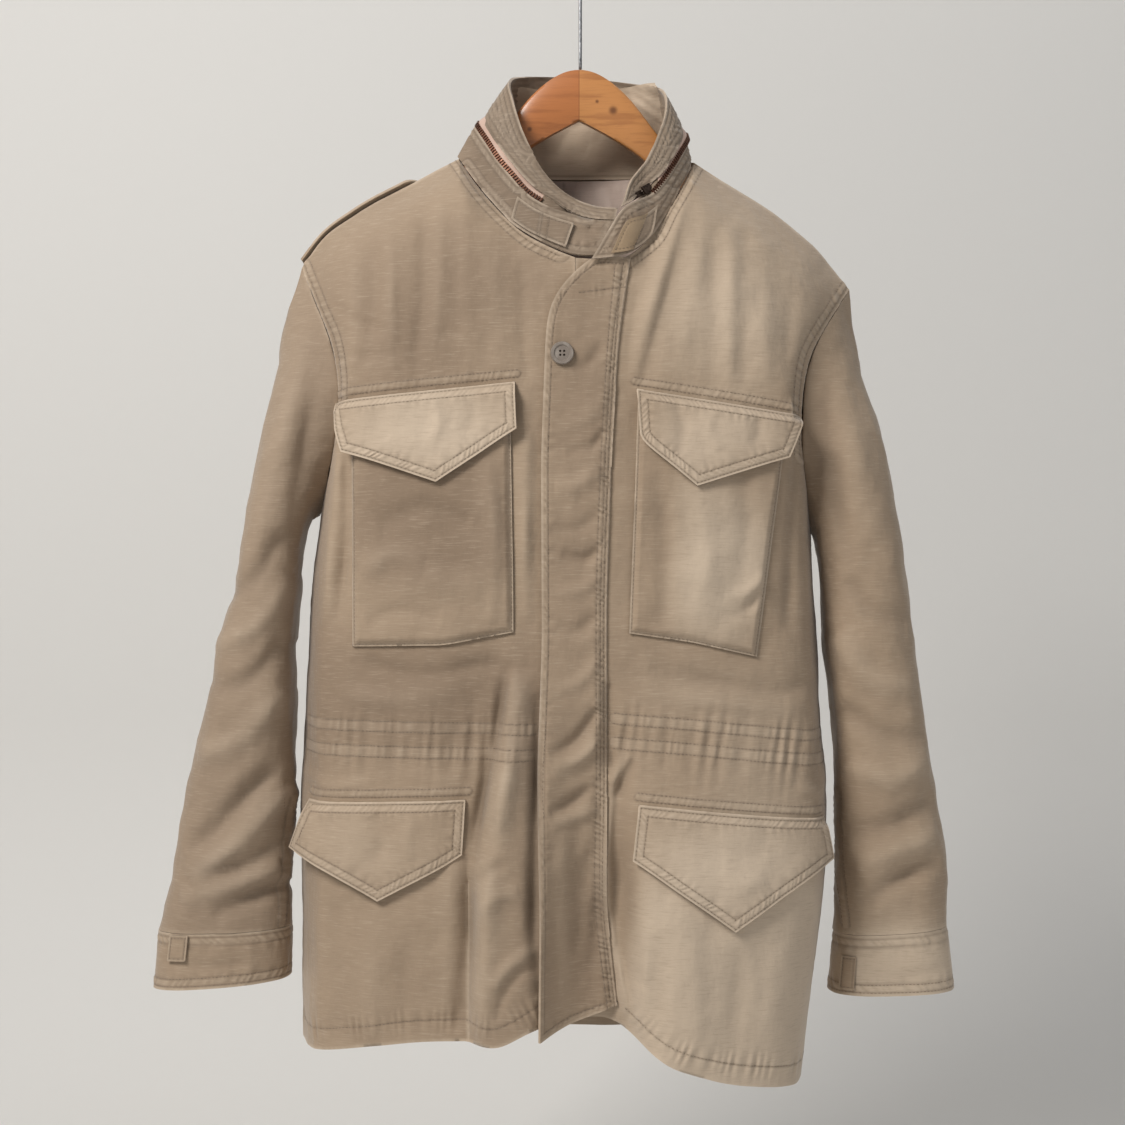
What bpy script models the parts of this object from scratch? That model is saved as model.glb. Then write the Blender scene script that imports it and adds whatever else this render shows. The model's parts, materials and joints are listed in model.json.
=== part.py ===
"""Field jacket on a wooden hanger, modelled as the pieces of cloth that a maker would cut and sew.

Metres, +Z up. The origin is the inside top of the hanger's hook, where the part hangs.
+X is the wearer's left, and the front of the jacket faces -Y.
Heights are given as a drop: the distance below the origin.
Every cloth piece is a wall: a grid of outer points, the same grid moved inwards, and a rim.
"""

import math

import bmesh
import bpy
from mathutils import Vector

# ---------------------------------------------------------------- driving sizes

CLOTH = 0.0016            # wall of one layer of the shell cloth
DOUBLED = 0.0022          # wall of a flap, band or cuff, which is two layers
SEAM_GAP = 0.0004         # space left between two pieces that are sewn together

ARM_ROWS = 10             # rows of a body panel beside the armhole
SKIRT_ROWS = 17           # rows from the underarm to the hem
NECK_COLUMNS = 8          # columns of a front panel under the neckline
SHOULDER_COLUMNS = 8      # columns of any body panel under one shoulder seam
BACK_NECK_COLUMNS = 8     # columns of the back under its neckline
SIDE_POWER = 3.4          # how square the body is in plan
SHOULDER_REACH = 0.13     # drop over which a panel rounds over the shoulder
CENTRE_X = -0.004         # where the two fronts meet, under the storm flap

# ---------------------------------------------------------------- tables

# Outline of the two sides. Keys are the wearer's sides.
# shoulder: x, drop from the neck point to the tip of the shoulder
# neckline: x, y, drop from the centre front to the neck point
# edge: drop, x, y down the armhole and then the side seam
# hem: x, drop from the centre front to the side seam
OUTLINE = {
    "right": {
        "underarm": 0.545,
        "shoulder": [
            (-0.1104, 0.2153),
            (-0.1647, 0.2438),
            (-0.1923, 0.2576),
            (-0.2245, 0.2788),
            (-0.2401, 0.2926),
            (-0.2548, 0.3156),
        ],
        "neckline": [
            (-0.0040, -0.0720, 0.3185),
            (-0.0174, -0.0700, 0.3130),
            (-0.0306, -0.0670, 0.3066),
            (-0.0439, -0.0620, 0.2990),
            (-0.0574, -0.0550, 0.2890),
            (-0.0711, -0.0450, 0.2731),
            (-0.0915, -0.0280, 0.2480),
            (-0.1104, 0.0000, 0.2153),
        ],
        "edge": [
            (0.3156, -0.2548, 0.000),
            (0.3353, -0.2460, -0.018),
            (0.3589, -0.2355, -0.030),
            (0.3916, -0.2210, -0.040),
            (0.4300, -0.2150, -0.044),
            (0.4700, -0.2180, -0.040),
            (0.5100, -0.2275, -0.026),
            (0.5450, -0.2385, 0.000),
            (0.5790, -0.2435, 0.002),
            (0.6140, -0.2480, 0.003),
            (0.7110, -0.2525, 0.004),
            (0.8010, -0.2560, 0.004),
            (1.0300, -0.2540, 0.004),
        ],
        "hem": [
            (-0.0040, 0.9850),
            (-0.0360, 0.9840),
            (-0.0560, 0.9950),
            (-0.0700, 1.0020),
            (-0.0960, 1.0020),
            (-0.1400, 1.0030),
            (-0.2000, 1.0120),
            (-0.2560, 1.0220),
        ],
    },
    "left": {
        "underarm": 0.560,
        "shoulder": [
            (0.1058, 0.2190),
            (0.1297, 0.2346),
            (0.1785, 0.2640),
            (0.2171, 0.2962),
            (0.2401, 0.3257),
            (0.2484, 0.3358),
        ],
        "neckline": [
            (-0.0036, -0.0740, 0.3192),
            (0.0178, -0.0725, 0.3200),
            (0.0354, -0.0700, 0.3221),
            (0.0533, -0.0640, 0.3087),
            (0.0669, -0.0570, 0.2959),
            (0.0765, -0.0450, 0.2758),
            (0.0909, -0.0280, 0.2490),
            (0.1058, 0.0000, 0.2190),
        ],
        "edge": [
            (0.3358, 0.2484, 0.000),
            (0.3553, 0.2351, -0.020),
            (0.3700, 0.2250, -0.030),
            (0.3862, 0.2142, -0.036),
            (0.4098, 0.2035, -0.042),
            (0.4500, 0.1990, -0.044),
            (0.4900, 0.2005, -0.038),
            (0.5300, 0.2060, -0.024),
            (0.5600, 0.2115, 0.000),
            (0.5890, 0.2135, 0.002),
            (0.6560, 0.2185, 0.003),
            (0.7110, 0.2215, 0.004),
            (0.7920, 0.2282, 0.004),
            (0.8700, 0.2272, 0.004),
            (1.0600, 0.2040, 0.004),
        ],
        "hem": [
            (-0.0036, 0.9850),
            (0.0240, 0.9820),
            (0.0360, 0.9900),
            (0.0500, 0.9990),
            (0.0800, 1.0180),
            (0.1250, 1.0320),
            (0.1700, 1.0400),
            (0.2060, 1.0450),
        ],
    },
}

# How far the middle of a panel stands from the side seams' plane, by drop.
PANEL_DEPTH = [
    # drop, front y, back y
    (0.20, -0.060, 0.046),
    (0.30, -0.070, 0.052),
    (0.40, -0.079, 0.056),
    (0.55, -0.086, 0.058),
    (0.75, -0.088, 0.055),
    (0.95, -0.090, 0.050),
    (1.06, -0.091, 0.048),
]

# Steps of the front where it hangs in big folds beside the fly: the surface stands forward by
# rise on the +X side of a line, which runs through the points (drop, x).
FRONT_STEPS = [
    # name, rise, width, fade in from drop, fade in to drop, line
    ("belly_right", 0.026, 0.016, 0.60, 0.90,
     [(0.60, -0.066), (0.73, -0.078), (0.86, -0.096), (1.06, -0.096)]),
    ("fly_right", -0.036, 0.030, 0.62, 0.98, [(0.60, -0.034), (1.06, -0.038)]),
    ("fly_left", 0.042, 0.026, 0.66, 0.98, [(0.60, 0.030), (0.90, 0.026), (0.98, 0.036), (1.06, 0.050)]),
    ("side_left", -0.010, 0.120, 0.70, 1.00, [(0.60, 0.130), (1.06, 0.130)]),
]

# Soft ridges and troughs of the panels, each along a line from one point to another.
FRONT_FOLDS = [
    # x from, drop from, x to, drop to, half width, height
    (-0.212, 0.300, -0.210, 0.450, 0.016, 0.0040),
    (0.197, 0.330, 0.196, 0.500, 0.016, 0.0040),
    (-0.160, 0.262, -0.158, 0.385, 0.014, 0.0030),
    (-0.136, 0.262, -0.140, 0.385, 0.009, -0.0025),
    (-0.104, 0.290, -0.118, 0.385, 0.012, 0.0030),
    (0.100, 0.245, 0.052, 0.390, 0.014, 0.0045),
    (0.122, 0.262, 0.080, 0.380, 0.012, -0.0030),
    (0.150, 0.290, 0.132, 0.385, 0.014, 0.0035),
    (-0.052, 0.430, -0.056, 0.600, 0.014, 0.0045),
    (0.052, 0.430, 0.050, 0.620, 0.012, -0.0030),
    (-0.120, 0.660, -0.150, 0.980, 0.024, 0.0040),
    (-0.205, 0.850, -0.215, 1.010, 0.018, 0.0035),
    (0.090, 0.860, 0.080, 1.020, 0.024, 0.0050),
    (0.170, 0.860, 0.150, 1.030, 0.022, -0.0040),
]

BACK_FOLDS = [
    # x from, drop from, x to, drop to, half width, height
    (-0.170, 0.300, -0.150, 0.560, 0.022, 0.0050),
    (0.165, 0.310, 0.140, 0.560, 0.022, 0.0050),
    (-0.090, 0.260, -0.060, 0.500, 0.020, -0.0035),
    (0.085, 0.260, 0.070, 0.500, 0.020, -0.0035),
    (-0.130, 0.620, -0.150, 1.020, 0.030, 0.0080),
    (-0.030, 0.560, -0.040, 1.020, 0.030, -0.0060),
    (0.060, 0.600, 0.070, 1.020, 0.030, 0.0070),
    (0.160, 0.640, 0.160, 1.030, 0.026, -0.0060),
]

# ---------------------------------------------------------------- small maths


def lerp(first, second, share):
    """Return the value that lies the given share of the way between two values."""
    return first + (second - first) * share


def smooth(share):
    """Ease a share from 0 to 1."""
    share = max(0.0, min(1.0, share))
    return share * share * (3.0 - 2.0 * share)


def read_table(rows, key, column, key_column=0):
    """Read a column of a table at a key between its rows, which run in either direction."""
    ordered = sorted(rows, key=lambda row: row[key_column])
    if key <= ordered[0][key_column]:
        return ordered[0][column]
    for low, high in zip(ordered, ordered[1:]):
        if key <= high[key_column]:
            share = (key - low[key_column]) / (high[key_column] - low[key_column])
            return lerp(low[column], high[column], share)
    return ordered[-1][column]


def fold_height(folds, x, drop):
    """Return how far the soft ridges and troughs lift a panel at a place."""
    height = 0.0
    for x_from, drop_from, x_to, drop_to, half_width, rise in folds:
        along = (drop - drop_from) / (drop_to - drop_from)
        if not -0.15 < along < 1.15:
            continue
        across = abs(x - lerp(x_from, x_to, along)) / half_width
        if across < 1.0:
            fade = smooth((along + 0.15) / 0.35) * smooth((1.15 - along) / 0.35)
            height += rise * fade * (1.0 + math.cos(math.pi * across)) / 2.0
    return height


def step_rise(x, drop):
    """Return how far the big folds beside the fly lift the front at a place."""
    rise = 0.0
    for _, full, width, fade_from, fade_to, line in FRONT_STEPS:
        line_x = read_table(line, drop, 1)
        rise += full * smooth((drop - fade_from) / (fade_to - fade_from)) * smooth((x - line_x) / width)
    return rise


# ---------------------------------------------------------------- grids of cloth


def grid_normals(grid, closed=False):
    """Return the outward normal at each point of a grid whose rows run down and columns to +X."""
    rows, columns = len(grid), len(grid[0])
    normals = []
    for i in range(rows):
        line = []
        for j in range(columns):
            down = grid[min(i + 1, rows - 1)][j] - grid[max(i - 1, 0)][j]
            if closed:
                across = grid[i][(j + 1) % columns] - grid[i][j - 1]
            else:
                across = grid[i][min(j + 1, columns - 1)] - grid[i][max(j - 1, 0)]
            line.append(across.cross(down).normalized() * -1.0)
        normals.append(line)
    return normals


class Cloth:
    """A grid of outer points with the direction in which the wall's thickness is taken."""

    def __init__(self, grid, closed=False, facing=1.0):
        """Keep the points and work out their normals."""
        self.grid = [list(row) for row in grid]
        self.closed = closed
        self.normals = [[n * facing for n in row] for row in grid_normals(grid, closed)]

    def at(self, row, column):
        """Return the place and the normal at a row and a column that may lie between two."""
        i = max(0, min(len(self.grid) - 2, int(row)))
        j = max(0, min(len(self.grid[0]) - 2, int(column)))
        down, across = row - i, column - j
        place, normal = [
            lerp(
                lerp(kind[i][j], kind[i][j + 1], across),
                lerp(kind[i + 1][j], kind[i + 1][j + 1], across),
                down,
            )
            for kind in (self.grid, self.normals)
        ]
        return place, normal.normalized()

    def locate(self, x, drop):
        """Return the row and the column of the grid that lie at a place seen from the front."""
        row = len(self.grid) / 2.0
        column = len(self.grid[0]) / 2.0
        for _ in range(24):
            i = max(0, min(len(self.grid) - 2, int(row)))
            line = [point.x for point in self.grid[i]]
            low = [point.x for point in self.grid[i + 1]]
            xs = [lerp(a, b, row - i) for a, b in zip(line, low)]
            sign = 1.0 if xs[-1] > xs[0] else -1.0
            column = 0.0
            for j, (a, b) in enumerate(zip(xs, xs[1:])):
                if sign * (x - a) >= 0.0:
                    column = j + min(1.0, (x - a) / (b - a))
            j = max(0, min(len(self.grid[0]) - 2, int(column)))
            drops = [-lerp(r[j].z, r[j + 1].z, column - j) for r in self.grid]
            for i, (a, b) in enumerate(zip(drops, drops[1:])):
                if drop >= a:
                    row = i + min(1.0, (drop - a) / (b - a))
        return row, column


def share_edge(first, first_line, second, second_line):
    """Give two pieces the same normals along a seam, and part their edges by the seam's gap."""
    directions = []
    for cloth, line in ((first, first_line), (second, second_line)):
        for (i, j), (k, l) in line:
            directions.append(cloth.grid[k][l] - cloth.grid[i][j])
    count = len(first_line)
    for index in range(count):
        (i, j), _ = first_line[index]
        (k, l), _ = second_line[index]
        normal = (first.normals[i][j] + second.normals[k][l]).normalized()
        first.normals[i][j] = normal
        second.normals[k][l] = normal
        for cloth, (m, n), inward in (
            (first, (i, j), directions[index]),
            (second, (k, l), directions[count + index]),
        ):
            flat = inward - normal * inward.dot(normal)
            cloth.grid[m][n] = cloth.grid[m][n] + flat.normalized() * SEAM_GAP / 2.0


def add_solid(name, cloth, thickness, material):
    """Make a wall from a cloth's outer points, its inner points and a rim, as one closed solid."""
    rows, columns = len(cloth.grid), len(cloth.grid[0])
    mesh = bmesh.new()
    outer = [[mesh.verts.new(point) for point in row] for row in cloth.grid]
    inner = [
        [mesh.verts.new(point - normal * thickness) for point, normal in zip(row, normals)]
        for row, normals in zip(cloth.grid, cloth.normals)
    ]
    last = columns if cloth.closed else columns - 1
    for i in range(rows - 1):
        for j in range(last):
            k = (j + 1) % columns
            mesh.faces.new((outer[i][j], outer[i + 1][j], outer[i + 1][k], outer[i][k]))
            mesh.faces.new((inner[i][j], inner[i][k], inner[i + 1][k], inner[i + 1][j]))
    for j in range(last):
        k = (j + 1) % columns
        mesh.faces.new((outer[0][j], outer[0][k], inner[0][k], inner[0][j]))
        mesh.faces.new((outer[-1][j], inner[-1][j], inner[-1][k], outer[-1][k]))
    if not cloth.closed:
        for i in range(rows - 1):
            mesh.faces.new((outer[i][0], inner[i][0], inner[i + 1][0], outer[i + 1][0]))
            mesh.faces.new((outer[i][-1], outer[i + 1][-1], inner[i + 1][-1], inner[i][-1]))
    return finish_mesh(name, mesh, material)


def finish_mesh(name, mesh, material):
    """Turn a closed bmesh's faces outwards, cut them into triangles and place it as an object."""
    mesh.normal_update()
    bmesh.ops.recalc_face_normals(mesh, faces=mesh.faces)
    bmesh.ops.triangulate(mesh, faces=mesh.faces)
    data = bpy.data.meshes.new(name)
    mesh.to_mesh(data)
    mesh.free()
    data.materials.append(material)
    data.shade_smooth()
    data.set_sharp_from_angle(angle=math.radians(50.0))
    item = bpy.data.objects.new(name, data)
    bpy.context.collection.objects.link(item)
    return item


def make_material(name, colour, roughness, metallic=0.0):
    """Make a plain Principled finish."""
    material = bpy.data.materials.new(name)
    material.use_nodes = True
    shader = material.node_tree.nodes["Principled BSDF"]
    shader.inputs["Base Color"].default_value = (*colour, 1.0)
    shader.inputs["Roughness"].default_value = roughness
    shader.inputs["Metallic"].default_value = metallic
    return material


# ---------------------------------------------------------------- the body's panels

BACK_HEM = 1.024              # drop of the back's hem in the middle
BACK_HEM_SIDE = {False: 1.022, True: 1.045}    # and beside the right and the left side seam
BACK_NECK_DROP = 0.2045       # the neck seam's highest place, behind
BACK_NECK_Y = 0.060


def column_shares(side):
    """Return the place of each column from the centre front to the side, as a share."""
    outline = OUTLINE[side]
    reach = outline["edge"][0][1] - CENTRE_X
    neck = (outline["shoulder"][0][0] - CENTRE_X) / reach
    shares = [neck * j / NECK_COLUMNS for j in range(NECK_COLUMNS + 1)]
    for j in range(1, SHOULDER_COLUMNS + 1):
        share = j / SHOULDER_COLUMNS
        shares.append(lerp(neck, 1.0, share + 0.22 * share * (1.0 - share)))
    return shares


def side_rows(side):
    """Return drop, x and y of the armhole and the side seam, one for each row."""
    outline = OUTLINE[side]
    tip = outline["edge"][0][0]
    end = outline["hem"][-1][1]
    drops = [lerp(tip, outline["underarm"], i / ARM_ROWS) for i in range(ARM_ROWS + 1)]
    drops += [lerp(outline["underarm"], end, i / SKIRT_ROWS) for i in range(1, SKIRT_ROWS + 1)]
    edge = outline["edge"]
    return [(drop, read_table(edge, drop, 1), read_table(edge, drop, 2)) for drop in drops]


def front_grid(side):
    """Work out a front panel: rows from its top edge to the hem, columns from the fly to the side."""
    outline = OUTLINE[side]
    rows = side_rows(side)
    grid = []
    for i, (side_drop, side_x, side_y) in enumerate(rows):
        line = []
        for share in column_shares(side):
            top_x = lerp(CENTRE_X, outline["edge"][0][1], share)
            if abs(top_x) <= abs(outline["shoulder"][0][0]) + 1e-6:
                top_y, top_drop = [read_table(outline["neckline"], top_x, c) for c in (1, 2)]
            else:
                top_y, top_drop = 0.0, read_table(outline["shoulder"], top_x, 1)
            x = lerp(CENTRE_X, side_x, share)
            hem_drop = read_table(outline["hem"], x, 1)
            if i <= ARM_ROWS:
                drop = lerp(top_drop, outline["underarm"], i / ARM_ROWS)
            else:
                drop = lerp(outline["underarm"], hem_drop, (i - ARM_ROWS) / SKIRT_ROWS)
            square = (1.0 - share**SIDE_POWER) ** (1.0 / SIDE_POWER)
            level = lerp(side_y, read_table(PANEL_DEPTH, drop, 1), square)
            round_over = 1.0 - min(1.0, (drop - top_drop) / SHOULDER_REACH)
            y = lerp(top_y, level, math.sqrt(max(0.0, 1.0 - round_over**2)))
            y -= (step_rise(x, drop) + fold_height(FRONT_FOLDS, x, drop)) * square**0.5 * smooth(i / 3.0)
            if share == 1.0:
                y = side_y
            line.append(Vector((x, y, -drop)))
        grid.append(line)
    return grid


def back_grid(fronts):
    """Work out the back: columns from the wearer's right side to the left, between the fronts' edges."""
    rows = len(fronts["right"])
    count = NECK_COLUMNS + SHOULDER_COLUMNS
    grid = []
    for i in range(rows):
        right_edge, left_edge = fronts["right"][i][-1], fronts["left"][i][-1]
        middle = (right_edge.x + left_edge.x) / 2.0
        half = (left_edge.x - right_edge.x) / 2.0
        xs = [fronts["right"][i][j].x for j in range(count, NECK_COLUMNS - 1, -1)]
        start, end = xs[-1], fronts["left"][i][NECK_COLUMNS].x
        xs += [lerp(start, end, k / BACK_NECK_COLUMNS) for k in range(1, BACK_NECK_COLUMNS)]
        xs += [fronts["left"][i][j].x for j in range(NECK_COLUMNS, count + 1)]
        line = []
        for j, x in enumerate(xs):
            top = back_top(fronts, j)
            seam = right_edge if x < middle else left_edge
            share = min(1.0, abs(x - middle) / half)
            if i <= ARM_ROWS:
                low = lerp(0.545, 0.560, smooth((x + 0.2) / 0.4))
                drop = lerp(-top.z, low, i / ARM_ROWS)
            else:
                low = lerp(0.545, 0.560, smooth((x + 0.2) / 0.4))
                hem = lerp(BACK_HEM, -seam.z if i == rows - 1 else BACK_HEM_SIDE[x > middle], share**6)
                drop = lerp(low, hem, (i - ARM_ROWS) / SKIRT_ROWS)
            square = max(0.0, 1.0 - share**SIDE_POWER) ** (1.0 / SIDE_POWER)
            level = lerp(-seam.y, read_table(PANEL_DEPTH, drop, 2), square)
            round_over = 1.0 - min(1.0, (drop + top.z) / SHOULDER_REACH)
            y = lerp(top.y, level, math.sqrt(max(0.0, 1.0 - round_over**2)))
            y += fold_height(BACK_FOLDS, x, drop) * square**0.5 * smooth(i / 3.0)
            point = Vector((x, y, -drop))
            if i >= ARM_ROWS and share > 0.9999:
                point = seam.copy()
            elif share > 0.9999:
                point = Vector((seam.x, -seam.y, seam.z))
            if i == 0:
                point = top
            line.append(point)
        grid.append(line)
    return grid


def back_top(fronts, column):
    """Return the point of the back's top edge: the shoulder seams, and the neckline between them."""
    last = 2 * SHOULDER_COLUMNS + BACK_NECK_COLUMNS
    if column <= SHOULDER_COLUMNS:
        return fronts["right"][0][NECK_COLUMNS + SHOULDER_COLUMNS - column].copy()
    if column >= last - SHOULDER_COLUMNS:
        return fronts["left"][0][NECK_COLUMNS + SHOULDER_COLUMNS - (last - column)].copy()
    share = (column - SHOULDER_COLUMNS) / BACK_NECK_COLUMNS
    right, left = fronts["right"][0][NECK_COLUMNS], fronts["left"][0][NECK_COLUMNS]
    angle = math.pi * share
    x = lerp((right.x + left.x) / 2.0, left.x, -math.cos(angle))
    drop = lerp(lerp(-right.z, -left.z, share), BACK_NECK_DROP, math.sin(angle) ** 0.8)
    return Vector((x, BACK_NECK_Y * math.sin(angle) ** 0.8, -drop))


# ---------------------------------------------------------------- sleeves and cuffs

SLEEVE_POWER = 2.5        # how square a sleeve is in section
CAP_HOLD = (1.0, 0.62, 0.34, 0.12)   # how much the first rings keep of the armhole's own curve

# One row for each ring below the armhole; the last two rings belong to the cuff.
SLEEVE_RINGS = {
    "right": [
        # outer x, outer drop, inner x, inner drop, half depth
        (-0.2660, 0.3560, -0.2455, 0.5500, 0.046),
        (-0.2790, 0.4080, -0.2490, 0.5600, 0.050),
        (-0.2916, 0.4646, -0.2525, 0.5750, 0.052),
        (-0.3030, 0.5300, -0.2550, 0.6000, 0.052),
        (-0.3119, 0.5842, -0.2570, 0.6350, 0.050),
        (-0.3240, 0.6400, -0.2590, 0.6800, 0.048),
        (-0.3367, 0.6946, -0.2600, 0.7250, 0.046),
        (-0.3475, 0.7420, -0.2610, 0.7700, 0.044),
        (-0.3579, 0.7866, -0.2620, 0.8150, 0.042),
        (-0.3675, 0.8330, -0.2625, 0.8580, 0.041),
        (-0.3763, 0.8786, -0.2630, 0.8950, 0.040),
        (-0.3862, 0.9215, -0.2630, 0.9180, 0.039),
        (-0.3895, 0.9480, -0.2636, 0.9410, 0.039),
        (-0.3919, 0.9740, -0.2642, 0.9640, 0.039),
    ],
    "left": [
        (0.2530, 0.3740, 0.2165, 0.5650, 0.046),
        (0.2600, 0.4100, 0.2190, 0.5750, 0.050),
        (0.2755, 0.4554, 0.2205, 0.5900, 0.052),
        (0.2850, 0.5000, 0.2225, 0.6100, 0.052),
        (0.2930, 0.5500, 0.2250, 0.6450, 0.050),
        (0.2999, 0.6210, 0.2275, 0.6850, 0.048),
        (0.3080, 0.6750, 0.2305, 0.7250, 0.046),
        (0.3170, 0.7330, 0.2335, 0.7680, 0.044),
        (0.3248, 0.7800, 0.2355, 0.8080, 0.042),
        (0.3345, 0.8350, 0.2365, 0.8520, 0.041),
        (0.3376, 0.8731, 0.2360, 0.8880, 0.040),
        (0.3376, 0.9172, 0.2345, 0.9240, 0.039),
        (0.3410, 0.9460, 0.2315, 0.9510, 0.039),
        (0.3441, 0.9743, 0.2285, 0.9780, 0.039),
    ],
}
CUFF_RING = 11            # the ring at the cuff's seam, counted from the first below the armhole

# Slanting creases of the sleeves: ring from and to, place round the ring from and to, height.
SLEEVE_CREASES = [
    # ring from, place from, ring to, place to, half width in rings, height
    (8.0, 0.05, 10.0, 0.45, 0.9, 0.0045),
    (10.2, 0.02, 9.2, 0.40, 0.7, -0.0035),
    (5.0, 0.10, 6.5, 0.45, 0.9, 0.0030),
    (2.0, 0.12, 4.5, 0.38, 0.9, -0.0030),
    (7.0, 0.60, 9.0, 0.90, 1.0, 0.0045),
    (4.0, 0.58, 5.5, 0.92, 1.0, -0.0035),
]


def ellipse_point(outer, inner, half_depth, share):
    """Return a point of a sleeve's ring: 0 at its outer side, 1/4 in front, 1/2 inside, 3/4 behind."""
    angle = 2.0 * math.pi * share
    power = 2.0 / SLEEVE_POWER
    along = math.copysign(abs(math.cos(angle)) ** power, math.cos(angle))
    front = math.copysign(abs(math.sin(angle)) ** power, math.sin(angle))
    middle = (outer + inner) / 2.0
    return middle + (outer - inner) / 2.0 * along + Vector((0.0, -half_depth * front, 0.0))


def sleeve_crease(ring, share):
    """Return how far the slanting creases lift a sleeve at a place."""
    height = 0.0
    for ring_from, from_share, ring_to, to_share, half_width, rise in SLEEVE_CREASES:
        along = (share - from_share) / (to_share - from_share)
        if 0.0 < along < 1.0:
            across = abs(ring - lerp(ring_from, ring_to, along)) / half_width
            if across < 1.0:
                height += rise * math.sin(math.pi * along) * (1.0 + math.cos(math.pi * across)) / 2.0
    return height


def sleeve_grid(side, armhole):
    """Work out a sleeve and its cuff as rings, from the armhole's own points down."""
    rings = SLEEVE_RINGS[side]
    count = len(armhole)
    tip, pit = armhole[0], armhole[count // 2]
    grid = [[point.copy() for point in armhole]]
    for i, (outer_x, outer_drop, inner_x, inner_drop, half_depth) in enumerate(rings):
        outer = Vector((outer_x, 0.0, -outer_drop))
        inner = Vector((inner_x, 0.0, -inner_drop))
        hold = CAP_HOLD[i + 1] if i + 1 < len(CAP_HOLD) else 0.0
        line = []
        for k in range(count):
            point = ellipse_point(outer, inner, half_depth, k / count)
            kept = armhole[k] - ellipse_point(tip, pit, 0.045, k / count)
            outward = (point - (outer + inner) / 2.0).normalized()
            line.append(point + kept * hold + outward * sleeve_crease(i + 1, k / count))
        grid.append(line)
    return grid


# ---------------------------------------------------------------- collar

COLLAR_WALL = 0.0024      # wall of the collar's bands
BASE_RISE = 0.0012        # space between the neck seam and the collar's lower edge
TAPE_WIDTH = 0.009        # the zip's tape, across
TAPE_INSET = 0.0008       # how far the tape lies behind the bands' face
TAPE_MARGIN = 0.0013      # space beside the tape
FIRST_ZIP_STATION = 3
LAST_ZIP_STATION = 21

# Stations of the collar from its right end, which lies under, round the back to its left end.
COLLAR_RIM = [
    # station, rim x, rim y, rim drop, zip's share of the height
    (0, 0.0340, -0.0430, 0.2705, 0.72),
    (1, 0.0150, -0.0450, 0.2705, 0.72),
    (2, -0.0030, -0.0450, 0.2640, 0.72),
    (3, -0.0150, -0.0440, 0.2565, 0.72),
    (4, -0.0260, -0.0420, 0.2460, 0.67),
    (5, -0.0370, -0.0370, 0.2310, 0.62),
    (6, -0.0465, -0.0310, 0.2090, 0.57),
    (7, -0.0545, -0.0240, 0.1870, 0.52),
    (8, -0.0600, -0.0140, 0.1640, 0.49),
    (9, -0.0635, -0.0020, 0.1480, 0.47),
    (10, -0.0615, 0.0120, 0.1385, 0.46),
    (11, -0.0545, 0.0300, 0.1320, 0.45),
    (12, -0.0310, 0.0440, 0.1275, 0.45),
    (13, 0.0010, 0.0500, 0.1260, 0.45),
    (14, 0.0340, 0.0440, 0.1320, 0.44),
    (15, 0.0620, 0.0300, 0.1400, 0.42),
    (16, 0.0740, 0.0160, 0.1460, 0.40),
    (17, 0.0790, 0.0020, 0.1540, 0.38),
    (18, 0.0800, -0.0120, 0.1680, 0.42),
    (19, 0.0765, -0.0220, 0.1880, 0.48),
    (20, 0.0690, -0.0310, 0.2060, 0.54),
    (21, 0.0620, -0.0390, 0.2220, 0.60),
    (22, 0.0575, -0.0460, 0.2310, 0.62),
    (23, 0.0530, -0.0520, 0.2380, 0.62),
    (24, 0.0487, -0.0570, 0.2449, 0.62),
]

# The ends of the neck seam, where the collar overlaps itself in front.
COLLAR_ENDS = {
    0: Vector((0.0180, -0.0700, -0.3180)),
    22: Vector((0.0400, -0.0755, -0.3180)),
    23: Vector((0.0250, -0.0790, -0.3210)),
    24: Vector((0.0095, -0.0805, -0.3225)),
}


def collar_base(fronts, back):
    """Return the collar's lower edge, one point for each station, just above the neck seam."""
    seam = [Vector()]
    seam += [fronts["right"].grid[0][j] for j in range(NECK_COLUMNS + 1)]
    seam += [back.grid[0][SHOULDER_COLUMNS + j] for j in range(1, BACK_NECK_COLUMNS)]
    seam += [fronts["left"].grid[0][j] for j in range(NECK_COLUMNS, 0, -1)]
    base = [point.copy() for point in seam]
    for station, point in COLLAR_ENDS.items():
        base[station] = point.copy()
    return base


def collar_grid(base, low, high, rows, first=0, last=24, inset=0.0):
    """Work out a band of the collar between two heights, given as functions of the station."""
    grid = []
    for i in range(rows + 1):
        line = []
        for station in range(first, last + 1):
            row = COLLAR_RIM[station]
            rim = Vector((row[1], row[2], -row[3]))
            foot = base[station] + (rim - base[station]).normalized() * BASE_RISE
            share = lerp(high(station), low(station), i / rows)
            bulge = 0.004 * math.sin(math.pi * share)
            outward = Vector((row[1] - 0.008, row[2], 0.0)).normalized()
            line.append(lerp(foot, rim, share) + outward * (bulge - inset))
        grid.append(line)
    return grid


def zip_edge(base, side):
    """Return a function that gives the height share of the zip opening's lower or upper edge."""

    def share(station):
        """Return the edge's height share at a station."""
        row = COLLAR_RIM[station]
        height = (Vector((row[1], row[2], -row[3])) - base[station]).length
        inside = FIRST_ZIP_STATION <= station <= LAST_ZIP_STATION
        half = TAPE_WIDTH / 2.0 if inside else SEAM_GAP
        return row[4] + side * half / height

    return share


def tape_edge(base, side):
    """Return a function that gives the height share of the tape's own lower or upper edge."""

    def share(station):
        """Return the edge's height share at a station."""
        row = COLLAR_RIM[station]
        height = (Vector((row[1], row[2], -row[3])) - base[station]).length
        return row[4] + side * (TAPE_WIDTH / 2.0 - TAPE_MARGIN) / height

    return share


# ---------------------------------------------------------------- pieces that lie on the front

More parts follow.
